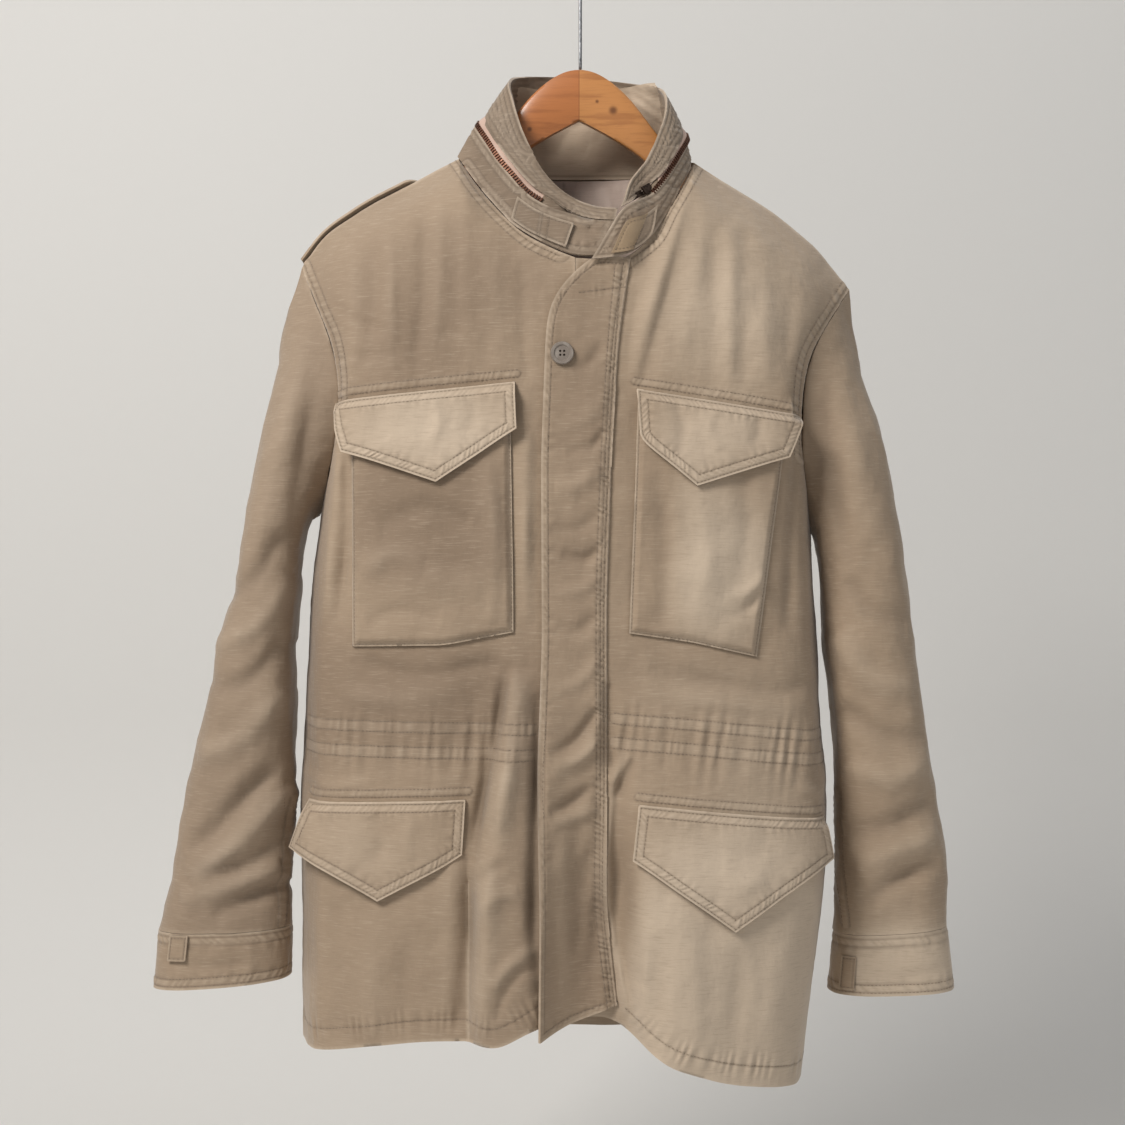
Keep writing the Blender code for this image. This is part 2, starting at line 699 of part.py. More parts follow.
# Chest pockets and the four flaps. Corners are x and drop; inner is the side near the fly.
PATCHES = [
    # name, panel, top inner, top outer, bottom inner, tip, bottom outer, lift, wall, outer flare
    ("chest_pocket_right", "right", (-0.0600, 0.440), (-0.1990, 0.452), (-0.0575, 0.6471),
     (-0.1180, 0.6585), (-0.1977, 0.6601), 0.0058, 0.0016, 0.001),
    ("chest_pocket_left", "left", (0.0505, 0.444), (0.1800, 0.468), (0.0427, 0.6479),
     (0.0980, 0.6560), (0.1534, 0.6688), 0.0058, 0.0016, 0.001),
    ("chest_flap_right", "right", (-0.0566, 0.4284), (-0.2125, 0.4440), (-0.0548, 0.4702),
     (-0.1245, 0.5164), (-0.2029, 0.4894), 0.0110, 0.0022, 0.001),
    ("chest_flap_left", "left", (0.0488, 0.4345), (0.1900, 0.4567), (0.0523, 0.4789),
     (0.1011, 0.5199), (0.1791, 0.4946), 0.0110, 0.0022, 0.001),
    ("lower_flap_right", "right", (-0.0990, 0.7925), (-0.2380, 0.7982), (-0.1000, 0.8400),
     (-0.1752, 0.8817), (-0.2460, 0.8420), 0.0058, 0.0022, 0.010),
    ("lower_flap_left", "left", (0.0520, 0.7948), (0.2120, 0.8113), (0.0480, 0.8417),
     (0.1313, 0.9017), (0.2150, 0.8469), 0.0058, 0.0022, 0.004),
]
PATCH_COLUMNS = 10
PATCH_ROWS = 5
POCKET_ROWS = 7

# The storm flap's two edges and the throat's slanting top, as drop and x.
STORM_EDGE = [
    (0.3180, 0.0110),
    (0.3240, 0.0045),
    (0.3290, -0.0043),
    (0.3370, -0.0130),
    (0.3490, -0.0209),
    (0.3600, -0.0265),
    (0.3780, -0.0296),
    (0.4928, -0.0339),
    (0.6575, -0.0331),
    (0.7673, -0.0365),
    (0.8900, -0.0331),
    (0.9960, -0.0340),
]
STORM_SEAM = [
    (0.3180, 0.0450),
    (0.3240, 0.0440),
    (0.3935, 0.0340),
    (0.4928, 0.0279),
    (0.6190, 0.0236),
    (0.7760, 0.0236),
    (0.8800, 0.0227),
    (0.9750, 0.0330),
]
STORM_TOP = 0.3180
STORM_BELOW_NECK = 0.0060    # where the panel is read for the part of the flap above the neckline
STORM_HEM = (0.9960, 0.9720)
STORM_ROWS = 30
STORM_COLUMNS = 5
STORM_LIFT = (0.0042, 0.0100)


def front_point(fronts, x, drop, lift):
    """Return a point over the fronts at a place, lifted off the panel along its normal."""
    cloth = fronts["right"] if x < CENTRE_X else fronts["left"]
    row, column = cloth.locate(x, drop)
    place, normal = cloth.at(row, column)
    return Vector((x, place.y, -drop)) + Vector((normal.x, normal.y, 0.0)).normalized() * lift


def add_patch(row, fronts, material):
    """Lay a pocket or a pointed flap on its front panel."""
    name, side, top_in, top_out, low_in, tip, low_out, lift, wall, flare = row
    rows = POCKET_ROWS if "pocket" in name else PATCH_ROWS
    tip_share = (tip[0] - low_in[0]) / (low_out[0] - low_in[0])
    shares = [k / PATCH_COLUMNS for k in range(PATCH_COLUMNS + 1)]
    nearest = min(range(len(shares)), key=lambda k: abs(shares[k] - tip_share))
    shares[nearest] = tip_share
    cloth = fronts[side]
    grid = []
    for i in range(rows + 1):
        line = []
        for share in shares:
            if share <= tip_share:
                low_drop = lerp(low_in[1], tip[1], share / tip_share)
            else:
                low_drop = lerp(tip[1], low_out[1], (share - tip_share) / (1.0 - tip_share))
            drop = lerp(lerp(top_in[1], top_out[1], share), low_drop, i / rows)
            x = lerp(lerp(top_in[0], top_out[0], share), lerp(low_in[0], low_out[0], share), i / rows)
            place, normal = cloth.at(*cloth.locate(x, drop))
            out = Vector((normal.x, normal.y, 0.0)).normalized()
            line.append(Vector((x, place.y, -drop)) + out * (lift + flare * share**4 * (i / rows)))
        grid.append(line)
    facing = -1.0 if side == "right" else 1.0
    return add_solid(name, Cloth(grid, facing=facing), wall, material)


def neckline_drop(x):
    """Return how low the neckline is at a place beside the centre front."""
    side = "right" if x < CENTRE_X else "left"
    return read_table(OUTLINE[side]["neckline"], x, 2)


def add_storm_flap(fronts, material):
    """Lay the storm flap over the closure, from the throat to the hem."""
    grid = []
    for i in range(STORM_ROWS + 1):
        line = []
        for j in range(STORM_COLUMNS + 1):
            share = j / STORM_COLUMNS
            foot = lerp(STORM_HEM[0], STORM_HEM[1], share)
            drop = lerp(STORM_TOP, foot, i / STORM_ROWS)
            x = lerp(read_table(STORM_EDGE, drop, 1), read_table(STORM_SEAM, drop, 1), share)
            lift = lerp(STORM_LIFT[0], STORM_LIFT[1], smooth((drop - 0.6) / 0.3) * (1.0 - 0.4 * share))
            point = front_point(fronts, x, max(drop, neckline_drop(x) + STORM_BELOW_NECK), lift)
            line.append(Vector((x, point.y, -drop)))
        grid.append(line)
    return add_solid("storm_flap", Cloth(grid), DOUBLED, material)


# Straps and patches: the piece that carries them, and where they lie in its rows and columns.
TRIMS = [
    # name, carrier, row from, row to, column from, column to, steps along, lift, wall
    ("collar_tab", "collar", 0.55, 1.85, 5.2, 1.7, 6, -0.0034, 0.0018),
    ("throat_strap", "collar", 0.70, 1.90, 23.0, 20.2, 6, -0.0038, 0.0020),
    ("cuff_patch_right", "right cuff", 0.05, 0.95, 2.75, 3.85, 3, 0.0026, 0.0014),
    ("cuff_patch_left", "left cuff", 0.70, 1.80, 8.2, 7.1, 3, 0.0026, 0.0014),
]


def add_trim(row, carriers, material):
    """Lay a strap or a patch on its carrier, made from the carrier's own surface."""
    name, carrier, row_from, row_to, column_from, column_to, steps, lift, wall = row
    cloth = carriers[carrier]
    grid = []
    for i in range(3):
        line = []
        for k in range(steps + 1):
            place, normal = cloth.at(lerp(row_from, row_to, i / 2), lerp(column_from, column_to, k / steps))
            line.append(place + normal * lift)
        grid.append(line)
    facing = 1.0
    if grid_normals(grid)[0][0].dot(cloth.at(row_from, column_from)[1]) < 0.0:
        facing = -1.0
    return add_solid(name, Cloth(grid, facing=facing), wall, material)


# ---------------------------------------------------------------- hard pieces

BUTTON_PLACE = (-0.0155, 0.4040)
BUTTON_RADIUS = 0.0103
BUTTON_WALL = 0.0030
BUTTON_SIDES = 20
HOLE_RADIUS = 0.0011
HOLE_OFFSET = 0.0024


def add_button(name, centre, normal, radius, material):
    """Turn a raised-rim button and cut its four holes."""
    mesh = bmesh.new()
    profile = [
        (0.0, 0.0),
        (radius * 0.9, 0.0),
        (radius, BUTTON_WALL * 0.35),
        (radius * 0.93, BUTTON_WALL),
        (radius * 0.72, BUTTON_WALL * 0.95),
        (radius * 0.62, BUTTON_WALL * 0.60),
        (0.0, BUTTON_WALL * 0.60),
    ]
    verts = [mesh.verts.new((x, 0.0, z)) for x, z in profile]
    edges = [mesh.edges.new(pair) for pair in zip(verts, verts[1:])]
    bmesh.ops.spin(
        mesh,
        geom=verts + edges,
        cent=(0, 0, 0),
        axis=(0, 0, 1),
        angle=2 * math.pi,
        steps=BUTTON_SIDES,
        use_merge=True,
    )
    bmesh.ops.remove_doubles(mesh, verts=mesh.verts, dist=0.00001)
    turn = normal.to_track_quat("Z", "Y")
    item = finish_mesh(name, mesh, material)
    cutters = []
    for k in range(4):
        angle = math.pi / 4 + k * math.pi / 2
        bpy.ops.mesh.primitive_cylinder_add(
            vertices=8,
            radius=HOLE_RADIUS,
            depth=0.02,
            location=(HOLE_OFFSET * math.cos(angle), HOLE_OFFSET * math.sin(angle), 0.0),
        )
        cutter = bpy.context.object
        cutter.name = f"guide_{name}_{k}"
        cutter.hide_render = True
        cutter.display_type = "WIRE"
        cutters.append(cutter)
        cut = item.modifiers.new("hole", "BOOLEAN")
        cut.operation = "DIFFERENCE"
        cut.object = cutter
    for piece in [item] + cutters:
        piece.rotation_mode = "QUATERNION"
        piece.location = turn @ piece.location + centre
        piece.rotation_quaternion = turn
    return item


HOOK_WIRE = 0.0017        # radius of the hook's wire
HOOK_RADIUS = 0.0235      # from the middle of the hook's bow to the middle of its wire
HANGER_BOW = [
    # x, drop of the wood's upper edge, drop of its lower edge, half thickness
    (0.000, 0.1334, 0.1803, 0.0065),
    (0.015, 0.1362, 0.1880, 0.0065),
    (0.030, 0.1455, 0.1960, 0.0068),
    (0.044, 0.1580, 0.2050, 0.0070),
    (0.056, 0.1725, 0.2130, 0.0070),
    (0.080, 0.2060, 0.2350, 0.0070),
]
HANGER_ARM = (0.110, 0.135, 0.160, 0.180, 0.195)   # stations under the shoulder seams
ARM_CLEARANCE = 0.0105    # space between the shoulder seam and the wood
ARM_HEIGHT = (0.022, 0.014)
ARM_HALF = (0.0062, 0.0070)
HANGER_SIDES = 8


def hanger_stations(side):
    """Return x, upper drop, lower drop and half thickness of one arm of the wood."""
    sign = 1.0 if side == "left" else -1.0
    stations = [(sign * x, upper, lower, half) for x, upper, lower, half in HANGER_BOW]
    for k, x in enumerate(HANGER_ARM):
        share = k / (len(HANGER_ARM) - 1)
        upper = read_table(OUTLINE[side]["shoulder"], sign * x, 1) + ARM_CLEARANCE
        stations.append((sign * x, upper, upper + lerp(*ARM_HEIGHT, share), lerp(*ARM_HALF, share)))
    return stations


def add_hanger(material, steel):
    """Make the shaped wooden bar and its steel hook."""
    mesh = bmesh.new()
    stations = hanger_stations("right")[:0:-1] + hanger_stations("left")
    rings = []
    for x, upper, lower, half in stations:
        middle, height = (upper + lower) / 2.0, (lower - upper) / 2.0
        ring = []
        for k in range(HANGER_SIDES):
            angle = 2.0 * math.pi * (k + 0.5) / HANGER_SIDES
            y = math.copysign(min(abs(math.cos(angle)) * 1.5, 1.0), math.cos(angle)) * half
            z = math.copysign(min(abs(math.sin(angle)) * 1.2, 1.0), math.sin(angle)) * height
            ring.append(mesh.verts.new((x, y, z - middle)))
        rings.append(ring)
    for low, high in zip(rings, rings[1:]):
        for k in range(HANGER_SIDES):
            m = (k + 1) % HANGER_SIDES
            mesh.faces.new((low[k], low[m], high[m], high[k]))
    mesh.faces.new(rings[0])
    mesh.faces.new(rings[-1])
    finish_mesh("hanger_wood", mesh, material)

    route = []
    for k in range(17):
        angle = math.radians(lerp(205.0, -50.0, k / 16))
        route.append((HOOK_RADIUS * math.cos(angle), HOOK_RADIUS * math.sin(angle) - HOOK_RADIUS + HOOK_WIRE))
    last_x, last_z = route[-1]
    for k in range(1, 7):
        share = k / 6
        route.append((lerp(last_x, 0.0012, smooth(share)), last_z - 0.022 * share))
    route += [(0.0012, lerp(route[-1][1], -0.1328, k / 3)) for k in (1, 2, 3)]
    curve = bpy.data.curves.new("hanger_hook", "CURVE")
    curve.dimensions = "3D"
    curve.bevel_depth = HOOK_WIRE
    curve.bevel_resolution = 2
    curve.use_fill_caps = True
    spline = curve.splines.new("POLY")
    spline.points.add(len(route) - 1)
    for point, (x, z) in zip(spline.points, route):
        point.co = (x, 0.0, z, 1.0)
    curve.materials.append(steel)
    item = bpy.data.objects.new("hanger_hook", curve)
    bpy.context.collection.objects.link(item)


# The collar zip's slider and its pull tab, in a frame of their own: a along the tab, b across it
# and c off the collar. The tab turns about b.
SLIDER_BODY = (0.0100, 0.0076, 0.0020)
SLIDER_LIFT = 0.0006
ARCH_WIDTH = 0.0014
ARCH_LENGTH = 0.0060
ARCH_HEIGHT = 0.0036
ARCH_ROOT = 0.0008         # how far the arch's foot sinks towards the slider, so that they are one casting
ARCH_WALL = 0.0009
TAB_LENGTH = 0.0190
TAB_WIDTH = 0.0052
TAB_WALL = 0.0009
TAB_SLOT = (0.0046, 0.0028)
TAB_BAR = 0.0010


def add_frame_solid(name, outline, window, half, axes, centre, material):
    """Extrude a plate with a window: outline and window lie in the first two axes."""
    mesh = bmesh.new()
    first, second, third = axes
    loops = []
    for side in (-1.0, 1.0):
        for shape in (outline, window):
            loops.append([
                mesh.verts.new(centre + first * u + second * v + third * half * side) for u, v in shape
            ])
    low_out, low_in, high_out, high_in = loops
    for k in range(4):
        m = (k + 1) % 4
        mesh.faces.new((low_out[k], low_out[m], low_in[m], low_in[k]))
        mesh.faces.new((high_out[k], high_in[k], high_in[m], high_out[m]))
        mesh.faces.new((low_out[k], high_out[k], high_out[m], low_out[m]))
        mesh.faces.new((low_in[k], low_in[m], high_in[m], high_in[k]))
    return finish_mesh(name, mesh, material)


def rectangle(u_low, u_high, v_low, v_high):
    """Return the corners of a rectangle in order."""
    return [(u_low, v_low), (u_high, v_low), (u_high, v_high), (u_low, v_high)]


def add_block(name, size, axes, centre, material):
    """Make a plain block along three axes."""
    mesh = bmesh.new()
    bmesh.ops.create_cube(mesh, size=1.0)
    for vert in mesh.verts:
        u, v, w = (vert.co[k] * size[k] for k in range(3))
        vert.co = centre + axes[0] * u + axes[1] * v + axes[2] * w
    return finish_mesh(name, mesh, material)


def add_zip_pull(place, along, normal, metal):
    """Make the slider with its arch, and the tab that hangs from the arch; return the tab's axis."""
    across = along.cross(normal).normalized()
    along = normal.cross(across).normalized()
    axes = (along, across, normal)
    body = place + normal * (SLIDER_LIFT + SLIDER_BODY[2] / 2.0)
    slider = add_block("zip_slider", SLIDER_BODY, axes, body, metal)
    arch_foot = place + normal * (SLIDER_LIFT + SLIDER_BODY[2] + 0.0003)
    half = ARCH_LENGTH / 2.0
    arch = add_frame_solid(
        "slider_arch",
        rectangle(-half, half, -ARCH_ROOT, ARCH_HEIGHT),
        rectangle(-half + ARCH_WALL, half - ARCH_WALL, ARCH_WALL, ARCH_HEIGHT - ARCH_WALL),
        ARCH_WIDTH / 2.0,
        (along, normal, across),
        arch_foot,
        metal,
    )
    arch.hide_render = True
    arch.display_type = "WIRE"
    cast = slider.modifiers.new("arch", "BOOLEAN")
    cast.operation = "UNION"
    cast.object = arch
    axis = arch_foot + normal * ARCH_HEIGHT / 2.0
    tab = add_frame_solid(
        "zip_pull",
        rectangle(-TAB_BAR / 2.0, TAB_LENGTH, -TAB_WIDTH / 2.0, TAB_WIDTH / 2.0),
        rectangle(TAB_BAR / 2.0, TAB_SLOT[0], -TAB_SLOT[1] / 2.0, TAB_SLOT[1] / 2.0),
        TAB_WALL / 2.0,
        (along, across, normal),
        Vector(),
        metal,
    )
    tab.location = axis
    return axis, across


# ---------------------------------------------------------------- whole jacket

SHELL_COLOUR = (0.36, 0.27, 0.19)
LINING_COLOUR = (0.26, 0.20, 0.17)
TAPE_COLOUR = (0.50, 0.33, 0.26)
BRASS_COLOUR = (0.25, 0.10, 0.06)
WOOD_COLOUR = (0.42, 0.16, 0.05)
STEEL_COLOUR = (0.55, 0.56, 0.58)
BUTTON_COLOUR = (0.20, 0.16, 0.13)

LINING_DROPS = (0.2260, 0.3050)    # top and lower edge of the lining's visible part
FACING_DROPS = (0.2100, 0.2235)    # top and lower edge of the facing above it
EPAULETTE = {
    # x of the pointed end and of the sewn end, front edge and back edge from the shoulder seam, lift
    "right": (-0.1330, -0.2510, -0.0020, 0.0440, 0.0048),
    "left": (0.1350, 0.2450, 0.0080, 0.0540, 0.0034),
}
EPAULETTE_POINT = 0.022       # how far the corners of the pointed end are cut back
EPAULETTE_COLUMNS = 8
EPAULETTE_ROWS = 6


def add_back_layer(name, back, drops, half_width, inset, wall, rows, material):
    """Lay a piece against the inside of the back, between two drops."""
    columns = 10
    grid = []
    for i in range(rows + 1):
        line = []
        for j in range(columns + 1):
            x = lerp(-half_width, half_width, j / columns)
            drop = lerp(drops[0], drops[1], i / rows)
            place, normal = back.at(*back.locate(x, drop))
            line.append(Vector((x, place.y, -drop)) - normal * inset)
        grid.append(line)
    return add_solid(name, Cloth(grid, facing=-1.0), wall, material)


def walk_down(cloth, column, length):
    """Return the place and normal at a length below a panel's top edge, along a column."""
    row = 0
    while row < ARM_ROWS:
        first, second = cloth.at(row, column)[0], cloth.at(row + 1, column)[0]
        step = (second - first).length
        if length <= step:
            return cloth.at(row + length / step, column)
        length -= step
        row += 1
    return cloth.at(row, column)


def add_epaulette(side, front, back, material):
    """Lay a shoulder strap over the shoulder, with a point at its neck end."""
    start, end, front_edge, back_edge, lift = EPAULETTE[side]
    last_back = 2 * SHOULDER_COLUMNS + BACK_NECK_COLUMNS
    top = [abs(point.x) for point in front.grid[0]]
    grid = []
    for i in range(EPAULETTE_ROWS + 1):
        reach = lerp(front_edge, back_edge, i / EPAULETTE_ROWS)
        corner = abs(2.0 * i / EPAULETTE_ROWS - 1.0) * EPAULETTE_POINT
        line = []
        for j in range(EPAULETTE_COLUMNS + 1):
            share = j / EPAULETTE_COLUMNS
            x = abs(lerp(start, end, share)) + corner * (1.0 - share) ** 3
            k = max(n for n in range(len(top) - 1) if top[n] <= x or n == 0)
            column = k + min(1.0, (x - top[k]) / (top[k + 1] - top[k]))
            from_side = NECK_COLUMNS + SHOULDER_COLUMNS - column
            if reach < 0.0:
                place, normal = walk_down(front, column, -reach)
            elif side == "right":
                place, normal = walk_down(back, from_side, reach)
            else:
                place, normal = walk_down(back, last_back - from_side, reach)
            line.append(place + normal * lift)
        grid.append(line)
    facing = 1.0 if side == "left" else -1.0
    return add_solid(f"epaulette_{side}", Cloth(grid, facing=facing), DOUBLED, material)


def build():
    """Clear the scene and make every piece."""
    for item in list(bpy.data.objects):
        bpy.data.objects.remove(item, do_unlink=True)

    shell = make_material("shell cloth", SHELL_COLOUR, 0.85)
    lining = make_material("lining cloth", LINING_COLOUR, 0.75)
    tape = make_material("zip tape", TAPE_COLOUR, 0.85)
    brass = make_material("zip metal", BRASS_COLOUR, 0.40, 1.0)
    wood = make_material("varnished wood", WOOD_COLOUR, 0.35)
    steel = make_material("steel wire", STEEL_COLOUR, 0.25, 1.0)
    horn = make_material("button", BUTTON_COLOUR, 0.45)

    flat = {side: front_grid(side) for side in OUTLINE}
    fronts = {"right": Cloth(flat["right"], facing=-1.0), "left": Cloth(flat["left"])}
    back = Cloth(back_grid(flat), facing=-1.0)
    last_row = ARM_ROWS + SKIRT_ROWS
    last_front = NECK_COLUMNS + SHOULDER_COLUMNS
    last_back = 2 * SHOULDER_COLUMNS + BACK_NECK_COLUMNS

    sleeves = {}
    for side in OUTLINE:
        column = 0 if side == "right" else last_back
        loop = [flat[side][i][-1] for i in range(ARM_ROWS + 1)]
        loop += [back.grid[i][column] for i in range(ARM_ROWS - 1, 0, -1)]
        facing = 1.0 if side == "right" else -1.0
        grid = sleeve_grid(side, loop)
        whole = Cloth(grid, closed=True, facing=facing)
        sleeves[side] = Cloth(grid[: CUFF_RING + 2], closed=True, facing=facing)
        cuff = Cloth(grid[CUFF_RING + 1 :], closed=True, facing=facing)
        cuff.normals = [list(row) for row in whole.normals[CUFF_RING + 1 :]]
        sleeves[side].normals[-1] = list(whole.normals[CUFF_RING + 1])
        sleeves[side + " cuff"] = cuff

    collar = collar_base(fronts, back)
    for side in OUTLINE:
        column, step = (0, 1) if side == "right" else (last_back, -1)
        cloth = sleeves[side]
        count = len(cloth.grid[0])
        # the armhole, where the sleeve meets the front and then the back
        share_edge(
            fronts[side],
            [((i, last_front), (i, last_front - 1)) for i in range(ARM_ROWS + 1)],
            cloth,
            [((0, i), (1, i)) for i in range(ARM_ROWS + 1)],
        )
        share_edge(
            back,
            [((i, column), (i, column + step)) for i in range(1, ARM_ROWS)],
            cloth,
            [((0, count - i), (1, count - i)) for i in range(1, ARM_ROWS)],
        )
        for i in (0, ARM_ROWS):
            inward = (back.grid[i][column + step] - back.grid[i][column]).normalized()
            back.grid[i][column] = back.grid[i][column] + inward * SEAM_GAP * 2.5
        # the side seam and the shoulder seam, between the front and the back
        share_edge(
            fronts[side],
            [((i, last_front), (i, last_front - 1)) for i in range(ARM_ROWS, last_row + 1)],
            back,
            [((i, column), (i, column + step)) for i in range(ARM_ROWS, last_row + 1)],
        )
        share_edge(
            fronts[side],
            [((0, NECK_COLUMNS + j), (1, NECK_COLUMNS + j)) for j in range(SHOULDER_COLUMNS + 1)],
            back,
            [
                ((0, column + step * (SHOULDER_COLUMNS - j)), (1, column + step * (SHOULDER_COLUMNS - j)))
                for j in range(SHOULDER_COLUMNS + 1)
            ],
        )
        share_edge(
            cloth,
            [((CUFF_RING + 1, i), (CUFF_RING, i)) for i in range(count)],
            sleeves[side + " cuff"],
            [((0, i), (1, i)) for i in range(count)],
        )
    share_edge(
        fronts["right"],
        [((i, 0), (i, 1)) for i in range(last_row + 1)],
        fronts["left"],
        [((i, 0), (i, 1)) for i in range(last_row + 1)],
    )

    for side in OUTLINE:
        add_solid(f"front_{side}", fronts[side], CLOTH, shell)
        add_solid(f"sleeve_{side}", sleeves[side], CLOTH, shell)
        add_solid(f"cuff_{side}", sleeves[side + " cuff"], DOUBLED, shell)
        add_epaulette(side, fronts[side], back, shell)
    add_solid("back", back, CLOTH, shell)

    lower = Cloth(collar_grid(collar, lambda s: 0.0, zip_edge(collar, -1.0), 2), facing=1.0)
    upper = Cloth(collar_grid(collar, zip_edge(collar, 1.0), lambda s: 1.0, 2), facing=1.0)
    strip = Cloth(
        collar_grid(
            collar,
            tape_edge(collar, -1.0),
            tape_edge(collar, 1.0),
            1,
            FIRST_ZIP_STATION + 1,
            LAST_ZIP_STATION - 1,
            TAPE_INSET,
        )
    )
    add_solid("collar_lower", lower, COLLAR_WALL, shell)
    add_solid("collar_upper", upper, COLLAR_WALL, shell)
    add_solid("collar_zip", strip, 0.0012, tape)

    carriers = {"collar": lower}
    carriers.update({side + " cuff": sleeves[side + " cuff"] for side in OUTLINE})
    for row in TRIMS:
        add_trim(row, carriers, shell)

    add_storm_flap(fronts, shell)
    for row in PATCHES:
        add_patch(row, fronts, shell)
    button_x, button_drop = BUTTON_PLACE
    button = front_point(fronts, button_x, button_drop, STORM_LIFT[0] + 0.0012)
    add_button("front_button", button, Vector((0.0, -1.0, 0.04)).normalized(), BUTTON_RADIUS, horn)

    add_back_layer("neck_facing", back, FACING_DROPS, 0.044, CLOTH + 0.0034, 0.0014, 2, shell)
    add_back_layer("neck_lining", back, LINING_DROPS, 0.072, CLOTH + 0.0032, 0.0010, 4, lining)
    add_hanger(wood, steel)

    slider = upper.at(2, LAST_ZIP_STATION)
    along = (lower.grid[0][LAST_ZIP_STATION + 1] - lower.grid[0][LAST_ZIP_STATION - 1]).normalized()
    add_zip_pull(slider[0], along, slider[1], brass)


build()
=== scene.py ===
"""Looks of a field jacket that hangs on a wooden hanger: fine cloth, sewing, zip, wood and steel.

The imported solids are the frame. Each cloth wall is copied, smoothed, creased and finished here.
Metres, +Z up; the origin is the inside top of the hanger's hook and the front faces -Y.
Heights are given as a drop, the distance below the origin.
"""

from __future__ import annotations

import json
import logging
import math
from dataclasses import dataclass, field
from enum import Enum
from typing import Sequence

import bmesh
import bpy
import numpy as np
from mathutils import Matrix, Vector
from mathutils.bvhtree import BVHTree
from mathutils.kdtree import KDTree

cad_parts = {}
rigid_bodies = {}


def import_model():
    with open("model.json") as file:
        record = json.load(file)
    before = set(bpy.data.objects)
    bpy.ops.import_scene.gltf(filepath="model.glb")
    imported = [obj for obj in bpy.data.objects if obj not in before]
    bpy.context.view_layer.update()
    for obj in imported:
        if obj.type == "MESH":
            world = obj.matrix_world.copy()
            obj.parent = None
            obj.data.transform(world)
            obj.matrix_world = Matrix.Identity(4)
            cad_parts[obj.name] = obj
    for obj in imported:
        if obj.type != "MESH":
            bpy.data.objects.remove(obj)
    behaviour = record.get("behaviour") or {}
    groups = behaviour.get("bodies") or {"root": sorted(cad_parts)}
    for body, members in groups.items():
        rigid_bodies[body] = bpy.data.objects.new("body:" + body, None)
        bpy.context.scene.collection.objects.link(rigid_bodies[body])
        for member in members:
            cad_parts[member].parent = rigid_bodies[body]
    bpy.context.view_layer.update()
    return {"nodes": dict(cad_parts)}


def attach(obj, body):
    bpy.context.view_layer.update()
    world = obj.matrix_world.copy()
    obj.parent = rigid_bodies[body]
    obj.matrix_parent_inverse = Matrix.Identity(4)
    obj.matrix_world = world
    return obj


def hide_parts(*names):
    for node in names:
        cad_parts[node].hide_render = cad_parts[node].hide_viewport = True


LOG = logging.getLogger("field_jacket")
BODY = "jacket"
MERGE = 0.00001
BODY_MIDDLE = -0.004
BODY_HALF = 0.285
ROUND_EDGE = 0.020
TUBE_SLICE = 0.020
SHARP_ANGLE = math.radians(38.0)
CREASE_ANGLE = math.radians(48.0)
FOLD_DEPTH = 1.6
# Strength of the painted highlight on fold crests and of the painted shade in fold troughs.
FOLD_LIGHT_AND_SHADE = 0.22
FOLD_UNEVEN = 0.25
FULL_FOLD = 0.004
FULL_PUCKER = 0.001
FULL_EDGE_PUCKER = 0.0004
FELL_PAST = 0.0012
FELL_SLOPE = 0.0014
BESIDE_ROWS = 0.007
FINE_PITCH = 0.012
RIM_REACH = 0.0125
NEEDLE_WIDTH = 0.0009
NEEDLE_SHADE = 0.55
THREAD_LIFT = 0.00012
SEAM_REACH = 0.5


# ---------------------------------------------------------------- shader maths


class Value:
    """A number socket of a shader tree that adds Math nodes when it is used in an expression."""

    def __init__(self, tree: "ShaderTree", socket: bpy.types.NodeSocket) -> None:
        """Hold a socket and the tree that it belongs to."""
        self.tree = tree
        self.socket = socket

    def _math(self, operation: str, first: object, second: object) -> "Value":
        """Return a Math node's result for two numbers or Values."""
        return self.tree.value("ShaderNodeMath", {"operation": operation}, {0: first, 1: second})

    def __add__(self, other: object) -> "Value":
        """Return self + other."""
        return self._math("ADD", self, other)

    __radd__ = __add__

    def __sub__(self, other: object) -> "Value":
        """Return self - other."""
        return self._math("SUBTRACT", self, other)

    def __rsub__(self, other: object) -> "Value":
        """Return other - self."""
        return self._math("SUBTRACT", other, self)

    def __mul__(self, other: object) -> "Value":
        """Return self * other."""
        return self._math("MULTIPLY", self, other)

    __rmul__ = __mul__

    def clamp(self) -> "Value":
        """Return the value held between 0 and 1."""
        return self.tree.value("ShaderNodeClamp", {}, {0: self})

    def band(self, low: float, high: float) -> "Value":
        """Return the value eased from 0 at low to 1 at high."""
        settings = {"interpolation_type": "SMOOTHSTEP"}
        return self.tree.value("ShaderNodeMapRange", settings, {0: self, 1: low, 2: high, 3: 0.0, 4: 1.0})


class NodeTree:
    """A node tree, with one method that adds any node."""

    def __init__(self, tree: bpy.types.NodeTree) -> None:
        """Hold the tree's nodes and links."""
        self.nodes = tree.nodes
        self.links = tree.links

    def node(self, kind: str, settings: dict, sockets: dict) -> bpy.types.Node:
        """Add a node.

        Args:
            kind: The node's type.
            settings: Its properties.
            sockets: Values, links or plain settings for its inputs, by name or index.

        Returns:
            The new node.
        """
        node = self.nodes.new(kind)
        for key, setting in settings.items():
            setattr(node, key, setting)
        for key, given in sockets.items():
            self.feed(node.inputs[key], given)
        return node

    def feed(self, socket: bpy.types.NodeSocket, given: object) -> None:
        """Link an input, or set it.

        Args:
            socket: The input.
            given: A Value, a socket, a colour or another plain setting.
        """
        given = given.socket if isinstance(given, Value) else given
        if isinstance(given, bpy.types.NodeSocket):
            self.links.new(given, socket)
        elif isinstance(given, tuple) and len(given) == 3 and socket.type == "RGBA":
            socket.default_value = (*given, 1.0)
        else:
            socket.default_value = given


